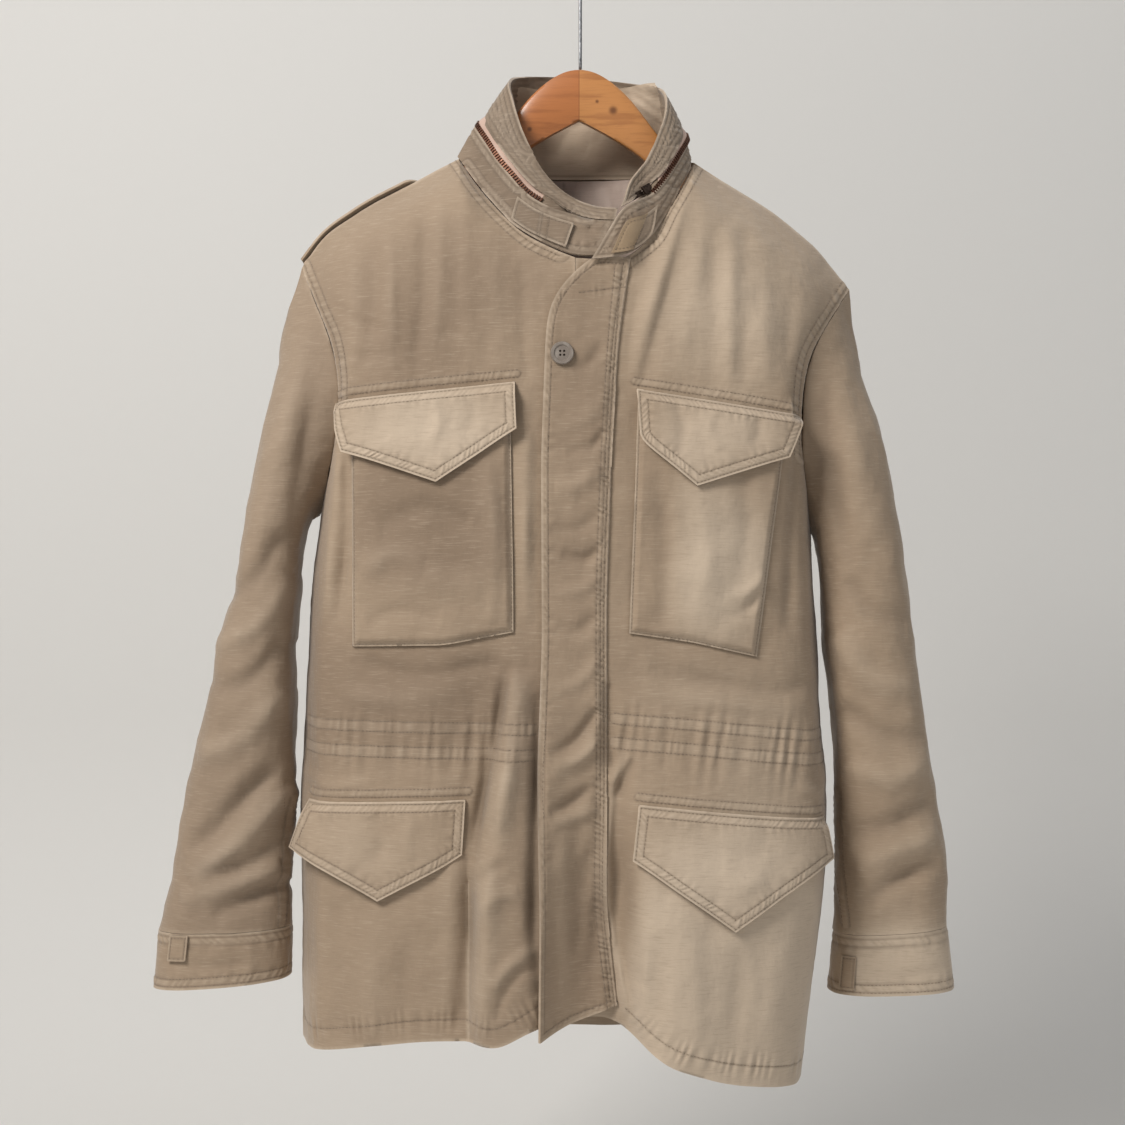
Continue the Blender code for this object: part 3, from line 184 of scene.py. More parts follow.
class ShaderTree(NodeTree):
    """A material's node tree."""

    def __init__(self, name: str) -> None:
        """Start a material with its Principled shader and output."""
        self.material = bpy.data.materials.new(name)
        self.material.use_nodes = True
        super().__init__(self.material.node_tree)
        self.shader = self.nodes["Principled BSDF"]

    def value(self, kind: str, settings: dict, sockets: dict, output: int | str = 0) -> Value:
        """Return one output of a new node as a Value."""
        return Value(self, self.node(kind, settings, sockets).outputs[output])

    def noise(self, scale: float, stretch: Sequence[float] = (1.0, 1.0, 1.0), detail: float = 2.0) -> Value:
        """Return noise on Object coordinates.

        Args:
            scale: Features for each metre.
            stretch: The stretch of the coordinates along each axis.
            detail: The octaves.

        Returns:
            The noise, about 0.5 in the middle.
        """
        origin = self.node("ShaderNodeTexCoord", {}, {}).outputs["Object"]
        place = self.node("ShaderNodeMapping", {}, {"Vector": origin, "Scale": tuple(stretch)}).outputs[0]
        return self.value("ShaderNodeTexNoise", {}, {"Vector": place, "Scale": scale, "Detail": detail}, "Fac")

    def attribute(self, name: str) -> Value:
        """Return a number that the piece's mesh holds at its points."""
        return self.value("ShaderNodeAttribute", {"attribute_name": name}, {}, "Fac")

    def mix(self, share: object, first: object, second: object) -> bpy.types.NodeSocket:
        """Return the first colour with a share of the second mixed in."""
        return self.node("ShaderNodeMix", {"data_type": "RGBA"}, {0: share, 6: first, 7: second}).outputs[2]

    def bump(self, layers: Sequence[tuple[Value, float]]) -> None:
        """Drive the shader's normal from height layers.

        Args:
            layers: Pairs of a height and its depth in metres.
        """
        normal = None
        for height, depth in layers:
            sockets = {"Height": height, "Distance": depth, "Strength": 1.0}
            if normal is not None:
                sockets["Normal"] = normal
            normal = self.node("ShaderNodeBump", {}, sockets).outputs[0]
        if normal is not None:
            self.links.new(normal, self.shader.inputs["Normal"])

    def finish(self, **sockets: object) -> bpy.types.Material:
        """Set the shader's sockets.

        Args:
            sockets: Names with _ for a space, and numbers, colours or links.

        Returns:
            The finished material.
        """
        for key, given in sockets.items():
            self.feed(self.shader.inputs[key.replace("_", " ")], given)
        return self.material


# ---------------------------------------------------------------- finishes


@dataclass(frozen=True)
class SateenFinish:
    """Worn cotton sateen: fine slubs across the cloth, worn pale edges and soft blotches, with painted shade in
    creases and needle rows and painted light and shade patches.
    """

    name: str
    colour: tuple[float, float, float]
    pale_colour: tuple[float, float, float]
    shade: tuple[float, float, float]
    sheen: float = 0.25
    roughness: float = 0.72

    def make(self) -> bpy.types.Material:
        """Build the material.

        Returns:
            The cloth's material; it reads the mesh's attributes for worn edges with a painted highlight on fold
            crests, for painted shade in creases and needle rows, and for painted light and shade patches.
        """
        tree = ShaderTree(self.name)
        slub = tree.noise(520.0, (0.14, 0.14, 2.6), 3.0)
        weft = tree.noise(1300.0, (0.12, 0.12, 2.2))
        warp = tree.noise(1300.0, (2.2, 2.2, 0.14))
        blotch = tree.noise(9.0, detail=3.0)
        cloud = tree.noise(60.0, (1.0, 1.0, 0.6), 3.0)
        edge = tree.attribute("edge")
        tuck = tree.attribute("tuck")
        sun = tree.attribute("sun")
        # A dark copy of the shade colour, used only for painted shade.
        dark = tuple(0.42 * c for c in self.shade)
        base = tree.mix(blotch.band(0.35, 0.70) * 0.25, self.colour, self.shade)
        # Painted light and shade: patch levels above 0.5 mix in the pale colour, and levels below 0.5 mix in the
        # darker one.
        base = tree.mix(sun.band(0.5, 1.0) * 0.75, base, self.pale_colour)
        base = tree.mix(sun.band(0.5, 0.0) * 0.80, base, self.shade)
        base = tree.mix(slub.band(0.52, 0.74) * 0.24, base, self.pale_colour)
        base = tree.mix(slub.band(0.48, 0.28) * 0.24, base, self.shade)
        base = tree.mix(weft.band(0.55, 0.75) * 0.16, base, self.shade)
        # Worn rims and seam ridges, together with the painted highlight on fold crests, mix in the pale colour.
        worn = (edge * (cloud.band(0.30, 0.62) * 0.4 + 0.6)).clamp()
        base = tree.mix(worn * 0.85, base, self.pale_colour)
        # Painted shade: creases, pucker troughs and needle rows are darkened towards the dark copy of the cloth.
        base = tree.mix(tuck.clamp() * 0.72, base, dark)
        rough = self.roughness + slub * 0.12 - 0.06
        wrinkle = tree.noise(34.0, (1.0, 1.0, 0.55), 3.0)
        tree.bump([(wrinkle, 0.0022), (cloud, 0.0009), (slub, 0.00016), (weft * 0.5 + warp * 0.5, 0.00012)])
        return tree.finish(
            Base_Color=base,
            Roughness=rough,
            Sheen_Weight=self.sheen,
            Sheen_Roughness=0.45,
            Specular_IOR_Level=0.28,
        )


@dataclass(frozen=True)
class PlainClothFinish:
    """A thin lining or a woven tape, with fine threads one way."""

    name: str
    colour: tuple[float, float, float]
    light: tuple[float, float, float]
    threads: float
    roughness: float

    def make(self) -> bpy.types.Material:
        """Build the material.

        Returns:
            The thin cloth's material.
        """
        tree = ShaderTree(self.name)
        thread = tree.noise(self.threads, (0.3, 0.3, 1.6))
        cloud = tree.noise(30.0)
        base = tree.mix(cloud.band(0.35, 0.65) * 0.5, self.colour, self.light)
        base = tree.mix(thread.band(0.45, 0.75) * 0.35, base, self.light)
        tree.bump([(thread, 0.00012)])
        return tree.finish(Base_Color=base, Roughness=self.roughness, Sheen_Weight=0.15)


@dataclass(frozen=True)
class MetalFinish:
    """Metal with small scratches and tarnish."""

    name: str
    colour: tuple[float, float, float]
    tarnish: tuple[float, float, float]
    roughness: float

    def make(self) -> bpy.types.Material:
        """Build the material.

        Returns:
            The metal's material.
        """
        tree = ShaderTree(self.name)
        spots = tree.noise(420.0, detail=3.0)
        scratch = tree.noise(900.0, (1.0, 1.0, 0.1))
        base = tree.mix(spots.band(0.40, 0.66) * 0.8, self.colour, self.tarnish)
        rough = scratch * 0.18 + spots * 0.12 + (self.roughness - 0.15)
        tree.bump([(scratch, 0.00004)])
        return tree.finish(Base_Color=base, Roughness=rough.clamp(), Metallic=1.0)


@dataclass(frozen=True)
class HornFinish:
    """A button's marbled plastic."""

    name: str
    colour: tuple[float, float, float]
    light: tuple[float, float, float]

    def make(self) -> bpy.types.Material:
        """Build the material.

        Returns:
            The button's material.
        """
        tree = ShaderTree(self.name)
        swirl = tree.noise(160.0, (1.0, 1.0, 0.5), 3.0)
        fine = tree.noise(1800.0)
        base = tree.mix(swirl.band(0.35, 0.7), self.colour, self.light)
        tree.bump([(fine, 0.00003)])
        return tree.finish(Base_Color=base, Roughness=0.42 + fine * 0.1, Specular_IOR_Level=0.4)


@dataclass(frozen=True)
class WoodFinish:
    """Varnished wood: grain along each arm, a redder right arm, and a few knots."""

    name: str = "varnished wood"
    red: tuple[float, float, float] = (0.46, 0.165, 0.050)
    yellow: tuple[float, float, float] = (0.54, 0.235, 0.075)
    dark: tuple[float, float, float] = (0.24, 0.075, 0.022)
    knots: tuple[tuple[float, float, float], ...] = (
        (0.0165, 0.1640, 0.0016),
        (0.0312, 0.1722, 0.0036),
        (-0.0452, 0.1895, 0.0020),
    )

    def make(self) -> bpy.types.Material:
        """Build the material.

        Returns:
            The wood's material.
        """
        tree = ShaderTree(self.name)
        origin = tree.node("ShaderNodeTexCoord", {}, {}).outputs["Object"]
        axes = tree.node("ShaderNodeSeparateXYZ", {}, {0: origin})
        x = Value(tree, axes.outputs[0])
        grain = tree.noise(120.0, (0.14, 1.0, 1.3), 4.0)
        fine = tree.noise(700.0, (0.08, 1.0, 1.6))
        side = x.band(-0.0004, 0.0004)
        base = tree.mix(side, self.red, self.yellow)
        base = tree.mix(grain.band(0.46, 0.66) * 0.42, base, self.dark)
        base = tree.mix(fine.band(0.5, 0.8) * 0.25, base, self.dark)
        for knot_x, knot_drop, radius in self.knots:
            centre = (knot_x, -0.007, -knot_drop)
            offset = tree.node("ShaderNodeVectorMath", {"operation": "DISTANCE"}, {0: origin, 1: centre})
            near = Value(tree, offset.outputs["Value"]).band(radius * 1.6, radius * 0.3)
            base = tree.mix(near * 0.85, base, tuple(0.5 * c for c in self.dark))
        joint = (x.band(-0.0006, -0.0001) * (1.0 - x.band(0.0001, 0.0006))) * 0.8
        base = tree.mix(joint, base, self.dark)
        tree.bump([(grain, 0.00006)])
        return tree.finish(Base_Color=base, Roughness=0.34 + fine * 0.08, Coat_Weight=0.35, Coat_Roughness=0.2)


# ---------------------------------------------------------------- cloth shapes


def eased(share: np.ndarray) -> np.ndarray:
    """Return 0 to 1 with soft ends for a share that may lie outside them."""
    held = np.clip(share, 0.0, 1.0)
    return held * held * (3.0 - 2.0 * held)


def curved(path: Sequence[Sequence[float]], step: float = 0.006) -> np.ndarray:
    """Draw a smooth line through a few points.

    Args:
        path: The points, of any dimension.
        step: The spacing of the result.

    Returns:
        The line's points.
    """
    given = np.array(path, float)
    if len(given) < 3:
        count = max(2, int(np.linalg.norm(given[-1] - given[0]) / step))
        return given[0] + (given[-1] - given[0]) * np.linspace(0.0, 1.0, count)[:, None]
    ends = np.vstack([2 * given[0] - given[1], given, 2 * given[-1] - given[-2]])
    line = []
    for before, first, second, after in zip(ends, ends[1:], ends[2:], ends[3:]):
        count = max(2, int(np.linalg.norm(second - first) / step))
        share = np.linspace(0.0, 1.0, count, endpoint=False)[:, None]
        square = (2 * before - 5 * first + 4 * second - after) * share**2
        cube = (3 * first - before - 3 * second + after) * share**3
        line.append(0.5 * (2 * first + (second - before) * share + square + cube))
    return np.vstack([*line, given[-1]])


def unit(rows: np.ndarray) -> np.ndarray:
    """Return rows of vectors, each one metre long."""
    return rows / np.maximum(np.linalg.norm(rows, axis=1), 1e-9)[:, None]


def metres(*lengths: float) -> tuple[float, ...]:
    """Return millimetres as metres."""
    return tuple(round(length / 1000.0, 7) for length in lengths)


def path_of(lengths: Sequence[float]) -> tuple[tuple[float, float], ...]:
    """Return (x, drop) points in metres from x, drop, x, drop and so on in millimetres."""
    return tuple(zip(metres(*lengths[::2]), metres(*lengths[1::2])))


def near_line(line: np.ndarray, points: np.ndarray, reach: float) -> tuple[np.ndarray, np.ndarray, np.ndarray]:
    """Measure points against a line.

    Args:
        line: The line's points, in the plane.
        points: The points that are measured.
        reach: Points further than this are left out.

    Returns:
        The indexes of the near points, their signed distance (positive on the line's left) and their
        length along the line.
    """
    low, high = line.min(0) - reach, line.max(0) + reach
    near = np.nonzero(np.all((points > low) & (points < high), axis=1))[0]
    chosen = points[near]
    best = np.full(len(near), 1e9)
    side, arc, run = np.zeros(len(near)), np.zeros(len(near)), 0.0
    for first, second in zip(line[:-1], line[1:]):
        step = second - first
        length = float(np.linalg.norm(step))
        if length < 1e-9:
            continue
        share = np.clip(((chosen - first) @ step) / length**2, 0.0, 1.0)
        offset = chosen - first - share[:, None] * step
        distance = np.linalg.norm(offset, axis=1)
        closer = distance < best
        best[closer] = distance[closer]
        side[closer] = np.sign(step[0] * offset[closer, 1] - step[1] * offset[closer, 0])
        arc[closer] = run + share[closer] * length
        run += length
    kept = best < reach
    return near[kept], (best * np.where(side == 0.0, 1.0, side))[kept], arc[kept]


def ripple(arc: np.ndarray, pitch: float, seed: float) -> np.ndarray:
    """Return an uneven wave between about -1 and 1 along a length.

    Args:
        arc: The lengths.
        pitch: The wave's mean length.
        seed: Shifts the wave.

    Returns:
        The wave's heights.
    """
    turn = 2 * math.pi * arc / pitch
    slow = np.sin(turn * 0.231 + seed * 3.1) + 0.7 * np.sin(turn * 0.113 + seed * 1.7)
    strength = 0.62 + 0.24 * np.sin(turn * 0.171 + seed * 5.3) + 0.14 * np.sin(turn * 0.427 + seed * 2.9)
    return np.sin(turn + 1.9 * slow + seed) * strength


def lumps(points: np.ndarray, size: float, seed: int) -> np.ndarray:
    """Return soft noise between -1 and 1.

    Args:
        points: Where it is wanted, in space.
        size: The size of a lump.
        seed: Chooses the pattern.

    Returns:
        The noise.
    """
    scaled = points / size + seed * 17.37
    cell = np.floor(scaled).astype(np.int64)
    share = eased(scaled - cell)
    total = np.zeros(len(points))
    for corner in range(8):
        step = np.array([corner & 1, corner >> 1 & 1, corner >> 2 & 1])
        key = (cell + step) @ np.array([73856093, 19349663, 83492791]) + seed * 1013
        key = (key ^ (key >> 13)) * 1274126177 & 0x7FFFFFFF
        level = ((key ^ (key >> 16)) & 0xFFFF) / 32767.5 - 1.0
        total += level * np.prod(np.where(step == 1, share, 1.0 - share), axis=1)
    return total


class Side(Enum):
    """Which side of the jacket a fold or a seam belongs to."""

    FRONT = -1.0
    BACK = 1.0


@dataclass(frozen=True)
class Fold:
    """A soft ridge or trough along a path of (x, drop) points, deepest in its middle, with a painted highlight on a
    ridge's crest and painted shade in a trough.
    """

    path: tuple[tuple[float, float], ...]
    height: float
    width: float
    lean: float
    light_and_shade: float

    def raise_cloth(self, points: np.ndarray, height: np.ndarray, edge: np.ndarray, tuck: np.ndarray) -> None:
        """Add the fold to the cloth.

        Args:
            points: The cloth's (x, drop) places.
            height: The heights that are changed.
            edge: The wear attribute, which here takes a painted highlight on crests.
            tuck: The shade, in troughs.
        """
        line = curved(self.path)
        near, side, arc = near_line(line, points, self.width * 2.6)
        if not len(near):
            return
        total = float(np.sum(np.linalg.norm(np.diff(line, axis=0), axis=1)))
        ends = np.sqrt(np.clip(np.sin(math.pi * np.clip(arc / total, 0.0, 1.0)), 0.0, 1.0))
        width = self.width * np.where(side > 0, 1.0 + self.lean, 1.0 - self.lean)
        uneven = 1.0 + FOLD_UNEVEN * np.sin(arc * 61.0 + self.path[0][0] * 90.0)
        shape = ends * uneven * np.exp(-((side / width) ** 2))
        height[near] += FOLD_DEPTH * self.height * shape
        # Painted light: a ridge's crest gets a painted highlight, and a trough gets painted shade.
        share = self.light_and_shade * FOLD_LIGHT_AND_SHADE * min(1.0, abs(self.height) / FULL_FOLD) * shape
        light_and_shade = edge if self.height > 0.0 else tuck
        light_and_shade[near] = np.maximum(light_and_shade[near], share)


@dataclass(frozen=True)
class Seam:
    """A line of sewing: needle rows that sink, a felled ridge between them, and ripples beside it, with painted
    shade in the rows and in the ripples' troughs.
    """

    path: tuple[tuple[float, float], ...]
    rows: tuple[float, ...]
    ridge: float
    pucker: float
    reach: float
    pitch: float
    sink: float
    wear: float

    def raise_cloth(
        self, points: np.ndarray, height: np.ndarray, edge: np.ndarray, tuck: np.ndarray, seed: float
    ) -> None:
        """Add the seam to the cloth.

        Args:
            points: The cloth's (x, drop) places.
            height: The heights that are changed.
            edge: The wear, where ridges rub.
            tuck: The shade, where cloth is gathered in.
            seed: Shifts the ripples.
        """
        near, side, arc = near_line(curved(self.path), points, self.reach * 2.4)
        if not len(near):
            return
        wave = ripple(arc + (0.4 if self.ridge > 0.0003 else 0.05) * side, self.pitch, seed)
        spread = np.exp(-((side / self.reach) ** 2))
        inner, outer = (min(self.rows), max(self.rows)) if self.rows else (0.0, 0.0)
        middle, half = (inner + outer) / 2.0, (outer - inner) / 2.0
        felled = eased((half + FELL_PAST - np.abs(side - middle)) / FELL_SLOPE) if half else 0.0
        drawn = 0.45 * spread + 0.55 * felled if half else spread
        height[near] += self.pucker * wave * drawn + self.ridge * felled
        edge[near] = np.maximum(edge[near], felled * (0.14 + self.wear * np.clip(wave, 0.0, 1.0)))
        # Painted shade in the troughs of the puckers.
        shade = 0.30 * min(1.0, self.pucker / FULL_PUCKER)
        tuck[near] = np.maximum(tuck[near], shade * np.clip(-wave, 0.0, 1.0) * drawn)
        # Each needle row sinks and is darkened with painted shade.
        for row in self.rows:
            sunk = np.exp(-(((side - row) / NEEDLE_WIDTH) ** 2))
            height[near] -= self.sink * sunk
            tuck[near] = np.maximum(tuck[near], NEEDLE_SHADE * sunk)


def fold(height: float, width: float, *path: float, lean: float = 0.0, light_and_shade: float = 1.0) -> Fold:
    """Return a fold, given in millimetres."""
    return Fold(path_of(path), *metres(height, width), lean, light_and_shade)


def seam(
    rows: Sequence[float],
    ridge: float,
    pucker: float,
    reach: float,
    pitch: float,
    *path: float,
    sink: float = 0.4,
    wear: float = 0.30,
) -> Seam:
    """Return a seam, given in millimetres."""
    return Seam(path_of(path), metres(*rows), *metres(ridge, pucker, reach, pitch, sink), wear)


@dataclass(frozen=True)
class LightPatch:
    """A soft patch of painted light (above 0) or painted shade (below 0) on the cloth."""

    x: float
    drop: float
    wide: float
    tall: float
    amount: float


def sun(x: float, drop: float, wide: float, tall: float, amount: float) -> LightPatch:
    """Return a patch, its place and size given in millimetres."""
    return LightPatch(*metres(x, drop, wide, tall), amount)


def light_patch_levels(points: np.ndarray, patches: Sequence[LightPatch]) -> np.ndarray:
    """Return the painted light and shade of the patches, with a little random tone, at each point.

    Args:
        points: The cloth's places in space.
        patches: The soft patches.

    Returns:
        Numbers about 0.5, greater where the cloth is paler.
    """
    level = np.full(len(points), 0.5)
    for patch in patches:
        across = (points[:, 0] - patch.x) / patch.wide
        along = (-points[:, 2] - patch.drop) / patch.tall
        level += patch.amount * np.exp(-(across**2) - along**2)
    # A little random tone is laid over the painted patches.
    return level + 0.10 * lumps(points, 0.06, 23)


@dataclass
class Lie:
    """The folds and seams that shape the cloth on one side of the jacket."""

    folds: tuple[Fold, ...] = ()
    seams: tuple[Seam, ...] = ()
    crumple: float = 0.0007
    soft: float = 0.0016

    def close_to_sewing(self, points: np.ndarray) -> np.ndarray:
        """Return True for the points that a finely rippled seam shapes."""
        flat = np.column_stack([points[:, 0], -points[:, 2]])
        found = np.zeros(len(flat), bool)
        for sewn in self.seams:
            if sewn.pitch < FINE_PITCH:
                found[near_line(curved(sewn.path), flat, sewn.reach * 1.2)[0]] = True
        return found

    def shape(self, points: np.ndarray) -> tuple[np.ndarray, np.ndarray, np.ndarray]:
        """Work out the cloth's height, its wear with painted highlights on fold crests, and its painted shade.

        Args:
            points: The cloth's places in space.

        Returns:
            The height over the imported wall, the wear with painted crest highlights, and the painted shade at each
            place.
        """
        flat = np.column_stack([points[:, 0], -points[:, 2]])
        height, edge, tuck = np.zeros(len(flat)), np.zeros(len(flat)), np.zeros(len(flat))
        for crease in self.folds:
            crease.raise_cloth(flat, height, edge, tuck)
        for index, sewn in enumerate(self.seams):
            sewn.raise_cloth(flat, height, edge, tuck, 1.0 + index * 2.3)
        turned = points * np.array([1.0, 1.0, 0.62]) + points[:, [2, 0, 1]] * np.array([0.25, 0.0, 0.0])
        height += self.soft * lumps(turned, 0.045, 3) + self.crumple * lumps(points, 0.017, 7)
        height += 0.35 * self.crumple * lumps(points, 0.0075, 11)
        return height, edge, tuck


# ---------------------------------------------------------------- meshes


def points_of(mesh: bpy.types.Mesh) -> np.ndarray:
    """Return a mesh's points as rows of x, y, z."""
    flat = np.zeros(len(mesh.vertices) * 3, np.float32)
    mesh.vertices.foreach_get("co", flat)
    return flat.reshape(-1, 3).astype(float)


def set_points(mesh: bpy.types.Mesh, points: np.ndarray) -> None:
    """Move a mesh's points to new places."""
    mesh.vertices.foreach_set("co", points.astype(np.float32).ravel())
    mesh.update()


def set_attribute(mesh: bpy.types.Mesh, name: str, values: np.ndarray) -> None:
    """Store a number between 0 and 1 at each point of a mesh."""
    layer = mesh.attributes.get(name) or mesh.attributes.new(name, "FLOAT", "POINT")
    layer.data.foreach_set("value", np.clip(values, 0.0, 1.0).astype(np.float32))


def coat(mesh: bpy.types.Mesh, *finishes: bpy.types.Material) -> None:
    """Give a mesh its finishes, in place of any others."""
    mesh.materials.clear()
    for finish in finishes:
        mesh.materials.append(finish)


def add_object(name: str, mesh: bpy.types.Mesh, *finishes: bpy.types.Material) -> bpy.types.Object:
    """Put a mesh in the scene.

    Args:
        name: The piece's name.
        mesh: Its mesh.
        finishes: Its finishes.

    Returns:
        The new object.
    """
    piece = bpy.data.objects.new(name, mesh)
    bpy.context.scene.collection.objects.link(piece)
    coat(mesh, *finishes)
    return piece


def put_on(piece: bpy.types.Object, node: str | None = None) -> None:
    """Let a piece ride on the jacket.

    Args:
        piece: The piece.
        node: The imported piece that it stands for, if any.
    """
    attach(piece, BODY)
    if node is not None:
        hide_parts(node)


def settle(piece: bpy.types.Object) -> bpy.types.Object:
    """Turn a piece's live modifiers into its plain mesh.

    Args:
        piece: The piece.

    Returns:
        The same piece.
    """
    bpy.context.view_layer.update()
    seen = piece.evaluated_get(bpy.context.evaluated_depsgraph_get())
    mesh = bpy.data.meshes.new_from_object(seen)
    mesh.name = piece.name
    piece.modifiers.clear()
    piece.data = mesh
    return piece


def smooth_faces(mesh: bpy.types.Mesh) -> None:
    """Shade a mesh smoothly, with sharp edges where its faces meet at a steep angle."""
    mesh.shade_smooth()
    mesh.set_sharp_from_angle(angle=SHARP_ANGLE)


def fine_copy(node: bpy.types.Object, name: str, level: int) -> bpy.types.Object:
    """Copy a packed wall and make its faces small and its curves smooth.

    Args:
        node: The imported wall.
        name: The new piece's name.
        level: How often the wall is smoothed and split.

    Returns:
        The new piece.
    """
    work = bmesh.new()
    work.from_mesh(node.data)
    bmesh.ops.remove_doubles(work, verts=work.verts, dist=MERGE)
    flat, square = math.radians(50), math.radians(75)
    bmesh.ops.join_triangles(work, faces=work.faces, angle_face_threshold=flat, angle_shape_threshold=square)
    crease = work.edges.layers.float.new("crease_edge")
    for edge in work.edges:
        if len(edge.link_faces) == 2 and edge.calc_face_angle() > CREASE_ANGLE:
            edge[crease] = 1.0
    mesh = bpy.data.meshes.new(name)
    work.to_mesh(mesh)
    work.free()
    piece = add_object(name, mesh)
    smoother = piece.modifiers.new("smooth", "SUBSURF")
    smoother.levels = smoother.render_levels = level
    return settle(piece)


def refine(piece: bpy.types.Object, ways: np.ndarray, chosen: np.ndarray) -> None:
    """Split the outer faces that lie wholly on chosen points.

    Args:
        piece: The piece.
        ways: The outward way at each point.
        chosen: True for the chosen points.
    """
    work = bmesh.new()
    work.from_mesh(piece.data)
    work.normal_update()
    edges = set()
    for face in work.faces:
        first = face.verts[0].index
        if face.normal.dot(Vector(ways[first])) > 0.25 and all(chosen[vert.index] for vert in face.verts):
            edges.update(face.edges)
    bmesh.ops.subdivide_edges(work, edges=list(edges), cuts=1, use_grid_fill=True)
    work.to_mesh(piece.data)
    work.free()


class Field(Enum):
    """Which way a cloth wall is pushed by its folds."""

    BODY = "body"
    TUBE = "tube"
    FLAT = "flat"
    TOP = "top"


def push_ways(points: np.ndarray, kind: Field) -> np.ndarray:
    """Return the outward way at each point, the same for a wall's two faces.

    Args:
        points: The wall's points.
        kind: The wall's form.

    Returns:
        Unit vectors.
    """
    ways = np.zeros_like(points)
    if kind in (Field.FLAT, Field.TOP):
        ways[:] = (0.0, -1.0, 0.0) if kind is Field.FLAT else (0.0, 0.0, 1.0)
        return ways
    if kind is Field.BODY:
        across = (points[:, 0] - BODY_MIDDLE) / BODY_HALF
        ways[:, 0] = 0.9 * np.sign(across) * np.abs(across) ** 5
        ways[:, 1] = np.where(points[:, 1] > 0.0, 1.0, -1.0) * np.clip(np.abs(points[:, 1]) / ROUND_EDGE, 0.15, 1.0)
    else:
        slices = np.round(points[:, 2] / TUBE_SLICE).astype(int)
        for level in np.unique(slices):
            ring = slices == level
            low, high = points[ring].min(0), points[ring].max(0)
            middle, spread = (low + high) / 2, np.maximum(high - low, 0.01)
            ways[ring, 0] = (points[ring, 0] - middle[0]) / spread[0]
            ways[ring, 1] = (points[ring, 1] - middle[1]) / spread[1]
    return unit(ways)


# ---------------------------------------------------------------- stitches


def along_tree(
    name: str, sizes: dict[str, float], material: bpy.types.Material, boxy: bool
) -> bpy.types.GeometryNodeTree:
    """Build the nodes that set small shapes at an even pitch along lines.

    Args:
        name: The tree's name.
        sizes: The Pitch, and the shape's Length, Width and Height, which become inputs.
        material: The shapes' finish.
        boxy: True for block shapes, False for rounded ones.

    Returns:
        The tree.
    """
    tree = bpy.data.node_groups.new(name, "GeometryNodeTree")
    tree.interface.new_socket("Geometry", in_out="INPUT", socket_type="NodeSocketGeometry")
    for key, size in sizes.items():
        tree.interface.new_socket(key, in_out="INPUT", socket_type="NodeSocketFloat").default_value = size
    tree.interface.new_socket("Geometry", in_out="OUTPUT", socket_type="NodeSocketGeometry")
    web = NodeTree(tree)
    given = web.node("NodeGroupInput", {}, {}).outputs
    curve = web.node("GeometryNodeMeshToCurve", {}, {"Mesh": given["Geometry"]})
    every = {"Curve": curve.outputs[0], "Length": given["Pitch"]}
    spread = web.node("GeometryNodeCurveToPoints", {"mode": "LENGTH"}, every)
    facing = web.node("GeometryNodeInputNamedAttribute", {"data_type": "FLOAT_VECTOR"}, {"Name": "facing"})
    upright = web.node("FunctionNodeAlignRotationToVector", {"axis": "Z"}, {"Vector": facing.outputs[0]})
    turned = {"Rotation": upright.outputs[0], "Vector": spread.outputs["Tangent"]}
    along = web.node("FunctionNodeAlignRotationToVector", {"axis": "X", "pivot_axis": "Z"}, turned)
    size = {0: given["Length"], 1: given["Width"], 2: given["Height"]}
    scale = web.node("ShaderNodeCombineXYZ", {}, size)
    if boxy:
        shape = web.node("GeometryNodeMeshCube", {}, {"Size": (1.0, 1.0, 1.0)})
    else:
        shape = web.node("GeometryNodeMeshIcoSphere", {}, {"Radius": 0.5, "Subdivisions": 1})
    stood = {
        "Points": spread.outputs["Points"],
        "Instance": shape.outputs["Mesh"],
        "Rotation": along.outputs[0],
        "Scale": scale.outputs[0],
    }
    placed = web.node("GeometryNodeInstanceOnPoints", {}, stood)
    real = web.node("GeometryNodeRealizeInstances", {}, {"Geometry": placed.outputs[0]})
    dressed = web.node("GeometryNodeSetMaterial", {}, {"Geometry": real.outputs[0], "Material": material})
    web.node("NodeGroupOutput", {}, {0: dressed.outputs[0]})
    return tree


def place_along(
    name: str,
    lines: Sequence[tuple[np.ndarray, np.ndarray]],
    sizes: dict[str, float],
    material: bpy.types.Material,
    boxy: bool,
) -> bpy.types.Object:
    """Set small shapes at an even pitch along lines.

    Args:
        name: The piece's name.
        lines: Pairs of a line's points and the outward ways at them.
        sizes: The Pitch, and the shape's Length, Width and Height.
        material: The shapes' finish.
        boxy: True for block shapes, False for rounded ones.

    Returns:
        The piece, a plain mesh.
    """
    points, edges, ways, first = [], [], [], 0
    for line, facing in lines:
        points += [tuple(point) for point in line]
        ways += [tuple(way) for way in facing]
        edges += [(first + index, first + index + 1) for index in range(len(line) - 1)]
        first += len(line)
    mesh = bpy.data.meshes.new(name)
    mesh.from_pydata(points, edges, [])
    layer = mesh.attributes.new("facing", "FLOAT_VECTOR", "POINT")
    layer.data.foreach_set("vector", np.array(ways, np.float32).ravel())
    piece = add_object(name, mesh)
    modifier = piece.modifiers.new("shapes", "NODES")
    modifier.node_group = along_tree(name, sizes, material, boxy)
    for socket in modifier.node_group.interface.items_tree:
        if socket.in_out == "INPUT" and socket.name in sizes:
            modifier[socket.identifier] = sizes[socket.name]
    settle(piece)
    extra = piece.data.attributes.get("facing")
    if extra is not None:
        piece.data.attributes.remove(extra)
    return piece


